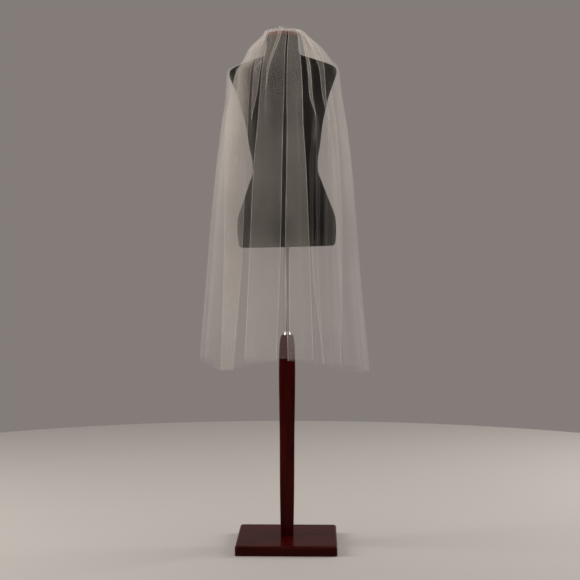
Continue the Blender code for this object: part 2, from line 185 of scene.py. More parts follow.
# The cloth is worked out at these levels, from the comb down. In mm: height at
# the middle and at the sides, left and right reach, depth towards the viewer
# and away from the viewer, and where the two free edges hang on the far side.
# A drop is a place on this ladder of levels: 0 is the comb and 10 is the hem.
LEVELS = ("comb", "dome", "rim", "neck", "shoulder", "tip", "blade", "bust", "waist", "hip", "hem")
DRAPE = {
    "middle height": (1806, 1803, 1779, 1744, 1694, 1655, 1573, 1482, 1342, 1073, 670),
    "left height": (1796, 1789, 1776, 1745, 1692, 1661, 1573, 1482, 1342, 1073, 640),
    "right height": (1799, 1792, 1778, 1748, 1699, 1675, 1573, 1482, 1342, 1073, 640),
    "left reach": (-75, -80, -95, -131, -162, -209, -213, -226, -243, -269, -302),
    "right reach": (43, 57, 80, 118, 158, 178, 190, 204, 220, 241, 281),
    "near depth": (6.6, 50, 66, 72, 84, 98, 114, 119, 124, 131, 139),
    "far depth": (6.6, 22, 46, 62, 78, 92, 120, 134, 136, 138, 145),
    "left free edge": (-69, -72, -80, -92, -98, -100, -102, -104, -107, -111, -120),
    "right free edge": (32, 46, 60, 78, 96, 108, 124, 136, 148, 156, 166),
}

# How square the outline is from above, where 2 would be an ellipse, the height
# of the hem in mm, and the share of the width over which it reaches its height
# at each side.
SQUARENESS = 2.6
HEM = {"left free edge": 628, "left side": 661, "right side": 616, "right free edge": 622}
HEM_SIDE_SPREAD = 0.23

# The space between two layers, lower down and at the comb, and the drop where it
# is fully grown. Then the half width of a bend, the room round it in half
# widths, the least room beside a loose pleat and a shut one in those rooms, and
# where along the climb a bend's three points lie when it is loose and shut.
PITCH = 0.0031
PITCH_AT_COMB = 0.0025
PITCH_GROWN_AT = 2
NOSE = 0.0019
NOSE_ROOM = 1.3
LOOSE_ROOM = 5.0
TIGHT_ROOM = 2.5
BEND_SHARES = ((0.0, 0.02), (0.18, 0.25), (0.36, 0.48))

# One folded-over pleat a row: the layer it starts on, how many layers the cloth
# climbs across it, whether it lasts to the hem, its columns of points where it
# is covered and in the open before it, then its right and left edge in mm at
# each level, each with its height at the hem.
PLEATS = (
    ("side", 0, 2, True, 3, 10, (-64, -67, -72, -95, -112, -121, -127, -131, -137, -149, -183), 630,
     (-69, -73, -83, -116, -143, -168, -191, -206, -209, -212, -223), 630),
    ("left shoulder", 2, -2, True, 1, 1, (-57, -58, -60, -76, -84, -89, -100, -119, -130, -142, -170), 640,
     (-62, -63, -67, -90, -107, -113, -117, -119, -117, -128, -148), 648),
    ("left panel", 0, 2, True, 3, 1, (-5, -1, -1, -4, -6, -7, -8, -11, -14, -19, -34), 662,
     (-54, -55, -57, -71, -79, -84, -90, -97, -110, -123, -141), 674),
    ("neck", 2, 2, False, 1, 0, (-15, -16, -20, -32, -50, -60, -70, -74, -72, -76, -82), 674,
     (-25, -25, -30, -40, -57, -66, -70, -66, -62, -62, -68), 674),
    ("right panel", 2, -2, True, 3, 2, (17, 29, 39, 44, 48, 51, 55, 57, 66, 78, 92), 668,
     (1, 5, 6, 3, 2, 1, 1, 2, 1, -3, 6), 664),
    ("right blade", 0, 2, True, 1, 1, (25, 40, 55, 65, 77, 83, 89, 101, 90, 90, 105), 652,
     (20.5, 34, 47, 56, 67, 72, 78, 101, 103, 105, 125), 650),
    ("right shoulder", 2, -2, True, 1, 2, (33, 50, 70, 98, 122, 128, 133, 144, 141, 136, 152), 636,
     (28.5, 44, 62, 82, 101, 112, 122, 144, 163, 163, 190), 624),
    ("far side", 0, 2, True, 4, 10, (29, 42, 53, 60, 64, 66, 70, 74, 78, 84, 128), 626,
     (40, 55, 71, 92, 122, 140, 158, 170, 182, 192, 189), 626),
)

# The drop at which the pleat at the neck is fully open, and over how much it opens.
NECK_PLEAT_ENDS = 7.5
NECK_PLEAT_FADE = 1.5

# Soft waves down the two sides: where round the drape, in quarter turns from
# the front, how wide, and how far they swing at the hem in mm.
SIDE_WAVES = (
    ("far left", -1.42, 0.10, 9),
    ("left edge", -1.10, 0.09, -8),
    ("near left", -0.86, 0.07, 8),
    ("near right", 0.80, 0.09, -8),
    ("right edge", 1.02, 0.08, 9),
    ("far right", 1.26, 0.09, -8),
)

# The drop at which those waves start.
WAVES_START = 5

# Soft creases, given one by one: where round the drape at their top and at
# their foot, the drops where they start and end, past 10 where they run on to
# the hem, how far they stand out in mm, how wide they are in quarter turns, and
# how much thicker the net looks there.
CREASES = (
    ("left arm, outer", -0.94, -0.97, 4.0, 10.4, 1.5, 0.030, 0.22),
    ("left arm, middle", -0.81, -0.86, 4.0, 9.4, -1.2, 0.026, 0.26),
    ("left arm, inner", -0.68, -0.74, 4.4, 10.4, 1.2, 0.022, 0.20),
    ("left hip", -0.60, -0.64, 5.0, 8.4, -0.9, 0.018, 0.12),
    # A negative number thins the net, so that the dark form shows through: this dark line is painted shade.
    ("left shoulder, dark line", -0.50, -0.53, 3.8, 6.0, -0.5, 0.012, -0.55),
    ("left shoulder, bright line", -0.45, -0.50, 3.4, 6.6, 0.5, 0.012, 0.45),
    ("left shoulder, inner", -0.29, -0.22, 2.6, 5.9, 0.4, 0.022, 0.45),
    ("left panel, long", -0.36, -0.33, 2.6, 9.6, 0.7, 0.014, 0.10),
    ("left panel, short", -0.22, -0.20, 3.4, 7.0, -0.6, 0.012, 0.06),
    ("centre, long", 0.10, 0.11, 4.4, 10.4, 0.5, 0.014, 0.05),
    ("right panel, long", 0.26, 0.24, 3.0, 10.4, 0.6, 0.014, 0.07),
    ("right blade, soft", 0.42, 0.44, 5.4, 9.4, -0.8, 0.018, 0.05),
    ("right blade, bright top", 0.25, 0.26, 2.4, 6.2, 0.3, 0.020, 0.40),
    # Painted shade: the net is thinned under the foot of the right blade's fold.
    ("right blade, thin foot", 0.25, 0.22, 7.3, 9.3, -0.3, 0.034, -0.38),
    ("right shoulder, fine", 0.60, 0.72, 2.8, 6.0, 0.8, 0.014, 0.26),
    ("right hip", 0.66, 0.62, 6.8, 10.4, 0.9, 0.020, 0.16),
    ("right arm, inner", 0.73, 0.75, 4.2, 8.8, 1.1, 0.026, 0.18),
    ("right arm, middle", 0.84, 0.87, 4.0, 10.4, -1.2, 0.028, 0.22),
    ("right arm, outer", 0.95, 0.96, 4.4, 10.4, 1.4, 0.032, 0.20),
    ("right edge, back", 1.10, 1.12, 4.2, 10.4, -1.3, 0.034, 0.20),
    ("far right, long", 1.26, 1.24, 4.0, 10.4, 1.4, 0.030, 0.22),
    ("far right, short", 1.42, 1.38, 4.6, 8.2, -1.1, 0.024, 0.16),
    ("far right, low", 1.54, 1.50, 6.6, 10.4, 1.2, 0.026, 0.16),
    ("left edge, back", -1.10, -1.12, 4.2, 10.4, -1.3, 0.034, 0.20),
    ("far left, long", -1.27, -1.24, 4.0, 10.4, 1.4, 0.030, 0.22),
    ("far left, short", -1.42, -1.38, 4.6, 8.6, -1.1, 0.024, 0.16),
    ("far left, low", -1.55, -1.50, 6.4, 10.4, 1.2, 0.026, 0.16),
)

# The shares of a crease's length over which it has faded in and starts to fade out.
CREASE_STARTED = 0.2
CREASE_ENDING = 0.75

# How many layers thick one layer of the gathered net looks: where round the
# drape, in quarter turns from the front, then a number for each level.
THICKNESS = (
    ("far left", -1.9, 20, 9.0, 9.0, 5.6, 3.2, 2.4, 2.4, 2.4, 1.9, 0.8, 0.3),
    ("left, behind", -1.25, 20, 9.0, 8.0, 5.4, 3.2, 2.4, 2.4, 2.4, 1.9, 0.7, 0.25),
    ("left edge", -1.00, 20, 9.0, 3.4, 1.8, 1.3, 0.8, 1.2, 1.5, 1.2, 0.4, 0.15),
    ("left arm", -0.85, 20, 9.0, 3.2, 1.2, 0.8, 0.3, 1.0, 1.3, 1.0, 0.6, 0.25),
    ("left tip", -0.60, 10, 4.6, 2.2, 1.5, 0.5, 0.05, 1.8, 2.4, 1.8, 1.0, 0.40),
    ("left shoulder", -0.55, 5.0, 2.6, 1.6, 1.7, 2.3, 2.4, 2.4, 2.4, 1.8, 1.2, 0.65),
    ("left front", -0.45, 2.4, 1.6, 1.3, 1.6, 2.6, 3.4, 3.4, 3.2, 2.2, 1.3, 0.75),
    ("middle left", -0.34, 1.0, 1.0, 1.1, 1.5, 1.9, 1.4, 1.4, 1.35, 1.25, 1.1, 0.9),
    ("middle", -0.04, 1.0, 1.0, 1.0, 1.0, 1.1, 1.15, 1.15, 1.1, 1.1, 1.05, 0.85),
    ("middle right", 0.40, 1.0, 1.0, 1.0, 0.85, 0.8, 1.0, 1.0, 1.0, 0.9, 0.7, 0.45),
    ("right front", 0.55, 4.0, 2.0, 1.3, 0.75, 0.7, 0.9, 1.0, 1.0, 0.85, 0.6, 0.38),
    ("right shoulder", 0.70, 14, 6.6, 2.4, 0.75, 0.6, 0.7, 0.7, 0.7, 0.7, 0.5, 0.30),
    ("right arm", 0.85, 20, 9.0, 3.0, 0.85, 0.65, 0.6, 0.7, 0.7, 0.7, 0.45, 0.25),
    ("right edge", 1.00, 20, 9.0, 3.2, 1.6, 1.1, 1.0, 1.2, 1.4, 1.2, 0.5, 0.20),
    ("right, behind", 1.25, 20, 9.0, 7.0, 4.2, 2.4, 1.6, 1.6, 1.8, 1.4, 0.5, 0.20),
    ("far right", 1.50, 20, 9.0, 8.0, 5.0, 2.6, 1.3, 0.7, 0.6, 0.6, 0.45, 0.2),
)

# The rows of the sheet lie this far apart, each stretch has this many times its
# columns, and a bend and the net's pattern have this many.
ROW_STEP = 0.0080
FINER = 4
BEND_POINTS = 7
NET_STATIONS = 321

# Small steps down and round the drape, between which its directions are read.
SMALL_DROP = 0.1
SMALL_TURN = 0.012

# The cloth's length is measured down this turn, at this many drops.
TRIAL_TURN = 0.35
TRIAL_DROPS = 401

# Painted shade: how much thinner the net is drawn on the open stretch before each pleat,
# where it lies alone in front of the form, so that it looks as dim as net with no light
# coming through it from behind. Then how far round and how far down that goes on, each
# faded out between its two numbers.
ALONE_PAINTED_SHADE = {
    "left panel": 0.26,
    "neck": 0.22,
    "right panel": 0.22,
    "right blade": 0.36,
    "right shoulder": 0.32,
    "far side": 0.20,
}
PAINTED_SHADE_TURNS = (0.78, 0.66)
PAINTED_SHADE_LEVELS = (9.6, 8.8)

# How much thicker the net looks at a loose bend, at a shut one and at a cut edge.
LOOSE_BEND = 0.10
BRIGHT_BEND = 1.6
CUT_EDGE = 0.2

# The least layers that the net can look. Then, as shares of its mean cover, the
# cover of its holes and how much more its threads have.
LEAST_LAYERS = 0.05
EVEN_COVER = 0.78
THREAD_COVER = 0.44

# Colours and dullness of finishes that have no setting of their own, and how
# finely drawn metal is lined along each axis.
THREAD_SHADE = (0.62, 0.59, 0.55)
THREAD_LIGHT = (0.86, 0.84, 0.80)
COLLAR_STEEL = (0.62, 0.58, 0.56)
COMB_STEEL = (0.62, 0.61, 0.59)
BRIGHT_ROUGHNESS = 0.25
LINES_UPRIGHT = (60.0, 60.0, 1.0)
LINES_ACROSS = (1.0, 60.0, 60.0)

# Light has to pass every layer of the net that lies in its way.
CLEAR_BOUNCES = 48
SENSOR_WIDTH = 36.0

# Each lamp with its place, its size and the setting that gives its power.
LAMPS = (
    ("left_window", (-3.4, -0.4, 2.0), (1.6, 2.6), "side_light"),
    ("right_window", (3.4, 1.3, 1.9), (1.6, 2.6), "side_light"),
    ("front_fill", (0.4, -5.5, 2.6), (2.5, 2.0), "front_light"),
    ("top_light", (0.0, 0.4, 4.2), (2.2, 2.2), "top_light"),
)
LAMP_TARGET = (0.0, 0.0, 1.1)
LAMP_COLOUR = (1.0, 0.96, 0.91)


def steady_curve(stations, values, wanted):
    """Reads a smooth curve through the values, which never overshoots them."""
    x, y = np.asarray(stations, float), np.asarray(values, float)
    step = np.diff(x)
    rise = np.diff(y) / step
    slope = np.zeros(len(x))
    slope[0], slope[-1] = rise[0], rise[-1]
    for i in range(1, len(x) - 1):
        if rise[i - 1] * rise[i] > 0:
            before = 2 * step[i] + step[i - 1]
            after = step[i] + 2 * step[i - 1]
            slope[i] = (before + after) / (before / rise[i - 1] + after / rise[i])
    wanted = np.clip(np.asarray(wanted, float), x[0], x[-1])
    k = np.clip(np.searchsorted(x, wanted, side="right") - 1, 0, len(x) - 2)
    h = step[k]
    s = (wanted - x[k]) / h
    return (
        y[k] * (1 + 2 * s) * (1 - s) ** 2
        + h * slope[k] * s * (1 - s) ** 2
        + y[k + 1] * s * s * (3 - 2 * s)
        + h * slope[k + 1] * s * s * (s - 1)
    )


def level_value(row, drop):
    """Reads one row of numbers, one for each level, at a drop."""
    return float(steady_curve(range(len(LEVELS)), row, drop))


def smooth_step(low, high, value):
    share = np.clip((np.asarray(value, float) - low) / (high - low), 0.0, 1.0)
    return share * share * (3 - 2 * share)


def leaning(u, v, h):
    """Turns a point of the upright torso into its leaning place on the rod."""
    x = u * math.cos(FORM_LEAN) - h * math.sin(FORM_LEAN)
    z = FORM_BOTTOM + u * math.sin(FORM_LEAN) + h * math.cos(FORM_LEAN)
    return (x, v, z)


def cap_height(reach):
    inner = min(reach / CAP_RADIUS, 1.0)
    return NECK_TOP + CAP_EDGE + CAP_DOME * math.sqrt(1 - inner * inner)


# Meshes


def mesh_from(points, faces):
    mesh = bpy.data.meshes.new("shape")
    mesh.from_pydata([tuple(point) for point in points], [], faces)
    mesh.update()
    return mesh


def piece_from(name, mesh, material, smooth_angle=None):
    """Links a mesh as one finished piece at the origin, shaded smooth below the angle."""
    mesh.name = name
    mesh.materials.clear()
    mesh.materials.append(bpy.data.materials[material])
    mesh.shade_smooth()
    if smooth_angle is not None:
        mesh.set_sharp_from_angle(angle=math.radians(smooth_angle))
    piece = bpy.data.objects.new(name, mesh)
    bpy.context.scene.collection.objects.link(piece)
    return piece


def ring_mesh(rings, closed_stack=False):
    """Joins rings of equally many points, and gives an open stack a face at each end."""
    count = len(rings[0])
    points = [point for ring in rings for point in ring]
    faces = []
    for r in range(len(rings) if closed_stack else len(rings) - 1):
        low, high = r * count, (r + 1) % len(rings) * count
        for i in range(count):
            j = (i + 1) % count
            faces.append((low + i, low + j, high + j, high + i))
    if not closed_stack:
        faces.append(tuple(reversed(range(count))))
        faces.append(tuple(range(len(points) - count, len(points))))
    return mesh_from(points, faces)


def face_outwards(mesh):
    shape = bmesh.new()
    shape.from_mesh(mesh)
    bmesh.ops.recalc_face_normals(shape, faces=shape.faces)
    shape.to_mesh(mesh)
    shape.free()


def solid_piece(name, rings, material, smooth_angle, closed_stack=False):
    """Makes a solid piece from its rings."""
    mesh = ring_mesh(rings, closed_stack)
    face_outwards(mesh)
    return piece_from(name, mesh, material, smooth_angle)


def circle(radius, height, sides=96):
    turns = (2 * math.pi * i / sides for i in range(sides))
    return [(radius * math.cos(turn), radius * math.sin(turn), height) for turn in turns]


def grid_mesh(points):
    """Makes one open sheet from a grid of points."""
    rows, columns = points.shape[:2]
    faces = []
    for r in range(rows - 1):
        for c in range(columns - 1):
            at = r * columns + c
            faces.append((at, at + columns, at + columns + 1, at + 1))
    return mesh_from(points.reshape(-1, 3), faces)


def add_uv(mesh, name, per_point):
    """Writes a UV map from one pair of numbers for each point."""
    layer = mesh.uv_layers.new(name=name)
    corners = np.empty(len(mesh.loops), int)
    mesh.loops.foreach_get("vertex_index", corners)
    layer.data.foreach_set("uv", np.asarray(per_point, np.float32)[corners].ravel())


def add_number(mesh, name, per_point):
    attribute = mesh.attributes.new(name, "FLOAT", "POINT")
    attribute.data.foreach_set("value", np.asarray(per_point, np.float32).ravel())


# Shader maths


class Value:
    """A node socket on which the usual operators add Math nodes."""

    def __init__(self, nodes, socket):
        self.nodes = nodes
        self.socket = socket

    def math(self, operation, *others):
        return self.nodes.maths(operation, self, *others)

    def __add__(self, other):
        return self.math("ADD", other)

    __radd__ = __add__

    def __mul__(self, other):
        return self.math("MULTIPLY", other)

    __rmul__ = __mul__

    def __sub__(self, other):
        return self.math("SUBTRACT", other)

    def __rsub__(self, other):
        return self.nodes.maths("SUBTRACT", other, self)

    def __truediv__(self, other):
        return self.math("DIVIDE", other)

    def __pow__(self, other):
        return self.math("POWER", other)

    def __rpow__(self, other):
        return self.nodes.maths("POWER", other, self)

    def sine(self):
        return self.math("SINE")

    def between(self, low, high):
        """0 below low and 1 above high, with a soft change between."""
        sockets = {"Value": self, "From Min": low, "From Max": high}
        return self.nodes.add("ShaderNodeMapRange", sockets, {"interpolation_type": "SMOOTHSTEP"})


class Nodes:
    """Adds nodes to one node tree."""

    def __init__(self, tree):
        self.tree = tree

    def add(self, kind, sockets=None, settings=None, output=0):
        node = self.tree.nodes.new(kind)
        for name, setting in (settings or {}).items():
            setattr(node, name, setting)
        for name, given in (sockets or {}).items():
            if isinstance(given, Value):
                self.tree.links.new(given.socket, node.inputs[name])
            else:
                node.inputs[name].default_value = given
        return Value(self, node.outputs[output]) if node.outputs else node

    def maths(self, operation, *values):
        return self.add("ShaderNodeMath", dict(enumerate(values)), {"operation": operation})

    def first_two(self, vector):
        """The first two parts of a vector."""
        split = self.add("ShaderNodeSeparateXYZ", {0: vector}).socket.node
        return Value(self, split.outputs[0]), Value(self, split.outputs[1])

    def vector(self, **parts):
        return self.add("ShaderNodeCombineXYZ", parts)

    def uv(self, name):
        return self.first_two(self.add("ShaderNodeUVMap", settings={"uv_map": name}))

    def attribute(self, name):
        return self.add("ShaderNodeAttribute", settings={"attribute_name": name}, output="Fac")

    def blend(self, share, first, second):
        """Mixes two colours."""
        sockets = {"Factor": share, 6: first, 7: second}
        return self.add("ShaderNodeMix", sockets, {"data_type": "RGBA"}, output=2)

    def noise(self, vector, scale, detail, roughness=0.5):
        sockets = {"Vector": vector, "Scale": scale, "Detail": detail, "Roughness": roughness}
        return self.add("ShaderNodeTexNoise", sockets)

    def place(self):
        return self.add("ShaderNodeTexCoord", output="Object")

    def stretched(self, vector, scale):
        return self.add("ShaderNodeMapping", {"Vector": vector, "Scale": scale})

    def bump(self, height, strength, distance):
        sockets = {"Height": height, "Strength": strength, "Distance": distance}
        return self.add("ShaderNodeBump", sockets)

    def surface(self, colour, roughness, relief=None, others=None):
        """A finish with its colour, roughness and relief, and what else it needs."""
        sockets = {"Base Color": colour, "Roughness": roughness, **(others or {})}
        if relief is not None:
            sockets["Normal"] = relief
        return self.add("ShaderNodeBsdfPrincipled", sockets)


def new_material(name, build):
    """Makes a material whose surface is what build returns."""
    material = bpy.data.materials.new(name)
    material.use_nodes = True
    material.node_tree.nodes.clear()
    nodes = Nodes(material.node_tree)
    nodes.add("ShaderNodeOutputMaterial", {"Surface": build(nodes)})


def toned(colour, share=1.0):
    """The colour, darker below 1 and lighter above it."""
    return (*(part * share for part in colour), 1.0)


def tulle_material(look):
    """A fine six-sided net. Where it is gathered or folded, more threads cover each spot."""

    def build(nodes):
        u, v = nodes.uv("cloth")
        turn = 2 * math.pi / look.net_pitch
        half_turn, slant = turn / 2, turn * math.sqrt(3) / 2
        across = (u * turn).math("COSINE")
        rising = (u * half_turn + v * slant).math("COSINE")
        falling = (u * half_turn - v * slant).math("COSINE")
        thread = 1 - (across + rising + falling).between(-1.0, 0.9)
        gather, crease = nodes.attribute("gather"), nodes.attribute("crease")
        cloud = nodes.noise(nodes.place(), 9.0, 2.0)
        # The crease number thickens the net along folds, bends and cut edges; its negative parts thin it
        # where shade is painted.
        layers = gather + crease * look.crease_strength + (cloud - 0.5) * 0.25
        open_share = 1 - look.net_cover * (EVEN_COVER + thread * THREAD_COVER)
        cover = 1 - open_share ** layers.math("MAXIMUM", LEAST_LAYERS)
        # The colour is a random tone, painted lighter where the crease number is high, a painted highlight on
        # folds, bends and cut edges, and darker where it is negative, painted shade.
        tone_and_painted_crease_light = cloud.between(0.35, 0.65) * 0.6 + crease * 0.2
        colour = nodes.blend(tone_and_painted_crease_light.math("MINIMUM", 1.0), toned(look.net_colour, 0.9), toned(look.net_colour))
        relief = nodes.bump(thread, 0.10, 0.0002)
        fibre = nodes.surface(
            colour, 0.55, relief, {"Alpha": cover, "Sheen Weight": 0.25, "Sheen Roughness": 0.4}
        )
        glow = nodes.add("ShaderNodeBsdfTranslucent", {"Color": colour})
        clear = nodes.add("ShaderNodeBsdfTransparent")
        through = nodes.add("ShaderNodeMixShader", {0: cover, 1: clear, 2: glow})
        return nodes.add("ShaderNodeMixShader", {0: look.net_glow, 1: fibre, 2: through})

    new_material("veil net", build)


def jersey_material(look):
    """Fine black knit, with its seams drawn in and a little lint."""

    def build(nodes):
        place = nodes.place()
        u, v = nodes.uv("knit")
        turn = 2 * math.pi / look.knit_pitch
        wale = (u * turn).sine()
        course = (v * (turn * 0.8)).sine()
        knit = wale * 0.6 + (wale * course) * 0.4
        cloud = nodes.noise(place, 14.0, 3.0)
        fluff = nodes.noise(place, 900.0, 2.0)
        base = look.jersey_colour
        colour = nodes.blend(cloud, toned(base, 0.75), toned(base, 1.5))
        lint = nodes.blend(fluff.between(0.68, 0.8) * 0.25, colour, toned(base, 5))
        height = knit * 0.5 + fluff * 0.3 - nodes.attribute("seam") * 3.0
        relief = nodes.bump(height, 0.5, 0.0004)
        return nodes.surface(lint, 0.82 + cloud * 0.12, relief, {"Specular IOR Level": 0.05})

    new_material("jersey knit", build)


def wood_material(look, name, along, lighter=1.0):
    """Mahogany under gloss lacquer, with its grain running along one axis."""

    def build(nodes):
        place = nodes.place()
        fine = tuple(5.0 if axis == along else 90.0 for axis in range(3))
        broad = tuple(0.9 if axis == along else 11.0 for axis in range(3))
        pores = nodes.noise(nodes.stretched(place, fine), 6.0, 4.0, 0.6)
        figure = nodes.noise(nodes.stretched(place, broad), 2.4, 3.0, 0.55)
        rings = (figure * 34.0).sine() * 0.5 + 0.5
        # lighter paints light or shade over a whole copy of the wood: above 1 it is painted light, below 1
        # painted shade.
        base = [part * lighter for part in look.wood_colour]
        dark = toned(base, 0.62)
        warm = (base[0] * 1.35, base[1] * 1.2, base[2] * 1.1, 1.0)
        colour = nodes.blend(rings * 0.7 + pores * 0.3, dark, warm)
        streak = nodes.blend(pores.between(0.56, 0.66) * 0.4, colour, dark)
        worn = nodes.noise(place, 30.0, 3.0)
        relief = nodes.bump(pores + worn * 0.2, 0.08, 0.0003)
        lacquer = {"Specular IOR Level": 0.03, "Coat Weight": 0.07, "Coat Roughness": 0.06}
        return nodes.surface(streak, 0.22 + worn * 0.10, relief, lacquer)

    new_material(name, build)


def metal_material(name, colour, roughness, scale):
    """Drawn metal with fine lines along it and a little dulling."""

    def build(nodes):
        place = nodes.place()
        lines = nodes.noise(nodes.stretched(place, scale), 40.0, 3.0)
        dull = nodes.noise(place, 12.0, 3.0)
        tone = nodes.blend(dull, toned(colour, 0.82), toned(colour))
        wear = roughness + lines * 0.08 + dull.between(0.5, 0.8) * 0.10
        return nodes.surface(tone, wear, nodes.bump(lines, 0.03, 0.00005), {"Metallic": 1.0})

    new_material(name, build)


def thread_material():
    def build(nodes):
        twist = nodes.noise(nodes.place(), 1400.0, 2.0).between(0.3, 0.7)
        colour = nodes.blend(twist, toned(THREAD_SHADE), toned(THREAD_LIGHT))
        return nodes.surface(colour, 0.6, nodes.bump(twist, 0.4, 0.0001))

    new_material("sewing thread", build)


def plain_material(name, colour, roughness):
    def build(nodes):
        cloud = nodes.noise(nodes.place(), 1.5, 2.0)
        return nodes.surface(nodes.blend(cloud, toned(colour, 0.97), toned(colour)), roughness)

    new_material(name, build)


# The cloth


class Drape:
    """The outline that the cloth follows round the form at one drop, worked out from the table."""

    def __init__(self, drop):
        read = {key: level_value(row, drop) * MM for key, row in DRAPE.items()}
        self.middle = read["middle height"]
        self.left, self.right = read["left height"], read["right height"]
        self.near, self.far = read["near depth"], read["far depth"]
        self.centre = (read["left reach"] + read["right reach"]) / 2
        self.half = (read["right reach"] - read["left reach"]) / 2
        self.girth = math.hypot(self.half, self.near) * math.pi / 2
        self.start = -2 - self.turn_of(read["left free edge"])
        self.end = 2 - self.turn_of(read["right free edge"])

    def turn_of(self, x):
        """Quarter turns from the front at which the outline reaches x."""
        inner = max(-0.9995, min(0.9995, (x - self.centre) / self.half))
        straight = math.copysign(abs(inner) ** (SQUARENESS / 2), inner)
        return math.asin(straight) * 2 / math.pi

    def place(self, turns):
        turns = np.asarray(turns, float)
        across, deep = np.sin(turns * math.pi / 2), -np.cos(turns * math.pi / 2)
        depth = np.where(deep < 0, self.near, self.far)
        x = self.centre + self.half * np.copysign(np.abs(across) ** (2 / SQUARENESS), across)
        y = depth * np.copysign(np.abs(deep) ** (2 / SQUARENESS), deep)
        side = np.where(turns > 0, self.right, self.left)
        height = side + (self.middle - side) * np.abs(deep) ** 1.5
        return np.stack([x, y, height], axis=-1)


def unit(vectors):
    return vectors / np.linalg.norm(vectors, axis=-1, keepdims=True)


def drape_frames(drop, turns):
    """Points of the drape with the directions out of it and along it."""
    here = Drape(drop)
    above, below = Drape(max(0.0, drop - SMALL_DROP)), Drape(min(len(LEVELS) - 1.0, drop + SMALL_DROP))
    along = unit(here.place(turns + SMALL_TURN) - here.place(turns - SMALL_TURN))
    out = unit(np.cross(along, above.place(turns) - below.place(turns)))
    return here.place(turns), out, along


def pleat_edge(drape, name, edge, drop):
    turn = drape.turn_of(level_value(edge, drop) * MM)
    return 2 - turn if name == "far side" else turn


def curve_through(values, t):
    """A parabola through three values, at t = -1, 0 and 1."""
    first, middle, last = values
    return middle + (last - first) / 2 * t + (first + last - 2 * middle) / 2 * t * t


class ClothRow:
    """The columns of the cloth at one level, from the left free edge round to the right one."""

    def __init__(self):
        self.turn, self.layer, self.push, self.hem, self.crease, self.alone = [], [], [], [], [], []

    def add(self, turn, layer, push, hem, crease=0.0, alone=0.0):
        self.turn.append(turn)
        self.layer.append(layer)
        self.push.append(push)
        self.hem.append(hem)
        self.crease.append(crease)
        self.alone.append(alone)

    def run(self, start, end, hems, layers, counts, thin):
        """The cloth between two pleats: what the first covers, an open stretch, and what the next covers."""
        (first, covered_to), (middle, covered_from), last = counts
        bounds = ((start, covered_to, first), (covered_to, covered_from, middle), (covered_from, end, last))
        for part, (low, high, count) in enumerate(bounds):
            fine = (count + 1) * FINER - 1 if count else FINER - 1
            for i in range(1, fine + 1):
                share = i / (fine + 1)
                turn = low + (high - low) * share
                ease = (0, share * share * (3 - 2 * share), 1)[part]
                hem = hems[0] + (hems[1] - hems[0]) * (turn - start) / (end - start)
                # The open stretch is thinned by thin: painted shade for the light that the form keeps from
                # behind it.
                alone = thin * math.sin(share * math.pi) ** 0.1 if part == 1 else 0.0
                self.add(turn, layers[0] + (layers[1] - layers[0]) * ease, 0.0, hem, 0.0, alone)

    def fold(self, edges, hems, layer, climb, fold, inner):
        """A folded-over pleat: a bend at its right edge, the covered cloth, and a bend at its left edge."""
        shut = max(0.0, fold)
        shares = [(1 - shut) * loose + shut * tight for loose, tight in BEND_SHARES]
        flank = NOSE * fold
        (a, b), (low, high) = edges, hems
        strong = abs(climb) / 2 * (LOOSE_BEND + BRIGHT_BEND * shut)
        for t in np.linspace(-1, 1, BEND_POINTS):
            at, push = curve_through(shares, t), curve_through((-NOSE, 0.0, -flank), t)
            self.add(a, layer + climb * at, push, low, strong * (1 - abs(t)))
        fine = (inner + 1) * FINER - 1
        for i in range(1, fine + 1):
            share = i / (fine + 1)
            across = shares[2] + (1 - 2 * shares[2]) * share
            self.add(a + (b - a) * share, layer + climb * across, flank * (2 * share - 1), low)
        for t in np.linspace(-1, 1, BEND_POINTS):
            at, push = 1 - curve_through(shares, -t), curve_through((flank, 0.0, NOSE), t)
            self.add(b, layer + climb * at, push, high, strong * (1 - abs(t)))


def side_hem(turn, hem):
    """Draws the hem towards its height at the outermost left or right."""
    for side, sign in (("left side", -1), ("right side", 1)):
        reach = np.maximum(0.0, np.sin(turn * sign * math.pi / 2)) ** (2 / SQUARENESS)
        near = np.maximum(0.0, 1 - (1 - reach) / HEM_SIDE_SPREAD)
        hem = hem + (HEM[side] * MM - hem) * near
    return hem


def cloth_row(drape, drop):
    row = ClothRow()
    nose = NOSE_ROOM * NOSE / drape.girth
    turn, hem, layer = drape.start, HEM["left free edge"] * MM, 0.0
    covered, cover = drape.start, 0
    row.add(turn, layer, 0.0, hem, CUT_EDGE)
    for name, under, climb, lasting, inner, opened, right, right_hem, left, left_hem in PLEATS:
        a, b = pleat_edge(drape, name, right, drop), pleat_edge(drape, name, left, drop)
        if not lasting:
            climb *= max(0.0, min(1.0, (NECK_PLEAT_ENDS - drop) / NECK_PLEAT_FADE))
        fold = max(-1.0, min(1.0, (a - b) * drape.girth / (2 * NOSE)))
        least = (LOOSE_ROOM + (TIGHT_ROOM - LOOSE_ROOM) * max(0.0, fold)) * nose
        covered_from = min(b, a - least)
        counts = ((cover, min(covered, covered_from)), (opened, covered_from), inner)
        row.run(turn, a - nose, (hem, right_hem * MM), (layer, under), counts, ALONE_PAINTED_SHADE.get(name, 0.0))
        row.fold((a, b), (right_hem * MM, left_hem * MM), under, climb, fold, inner)
        layer = under + climb
        turn, hem, covered, cover = b + nose, left_hem * MM, max(a, b + least), inner
    end_hem = HEM["right free edge"] * MM
    counts = ((2, drape.end), (0, drape.end), 0)
    row.run(turn, drape.end, (hem, end_hem), (layer, layer), counts, 0.0)
    row.add(drape.end, layer, 0.0, end_hem, CUT_EDGE)
    return row


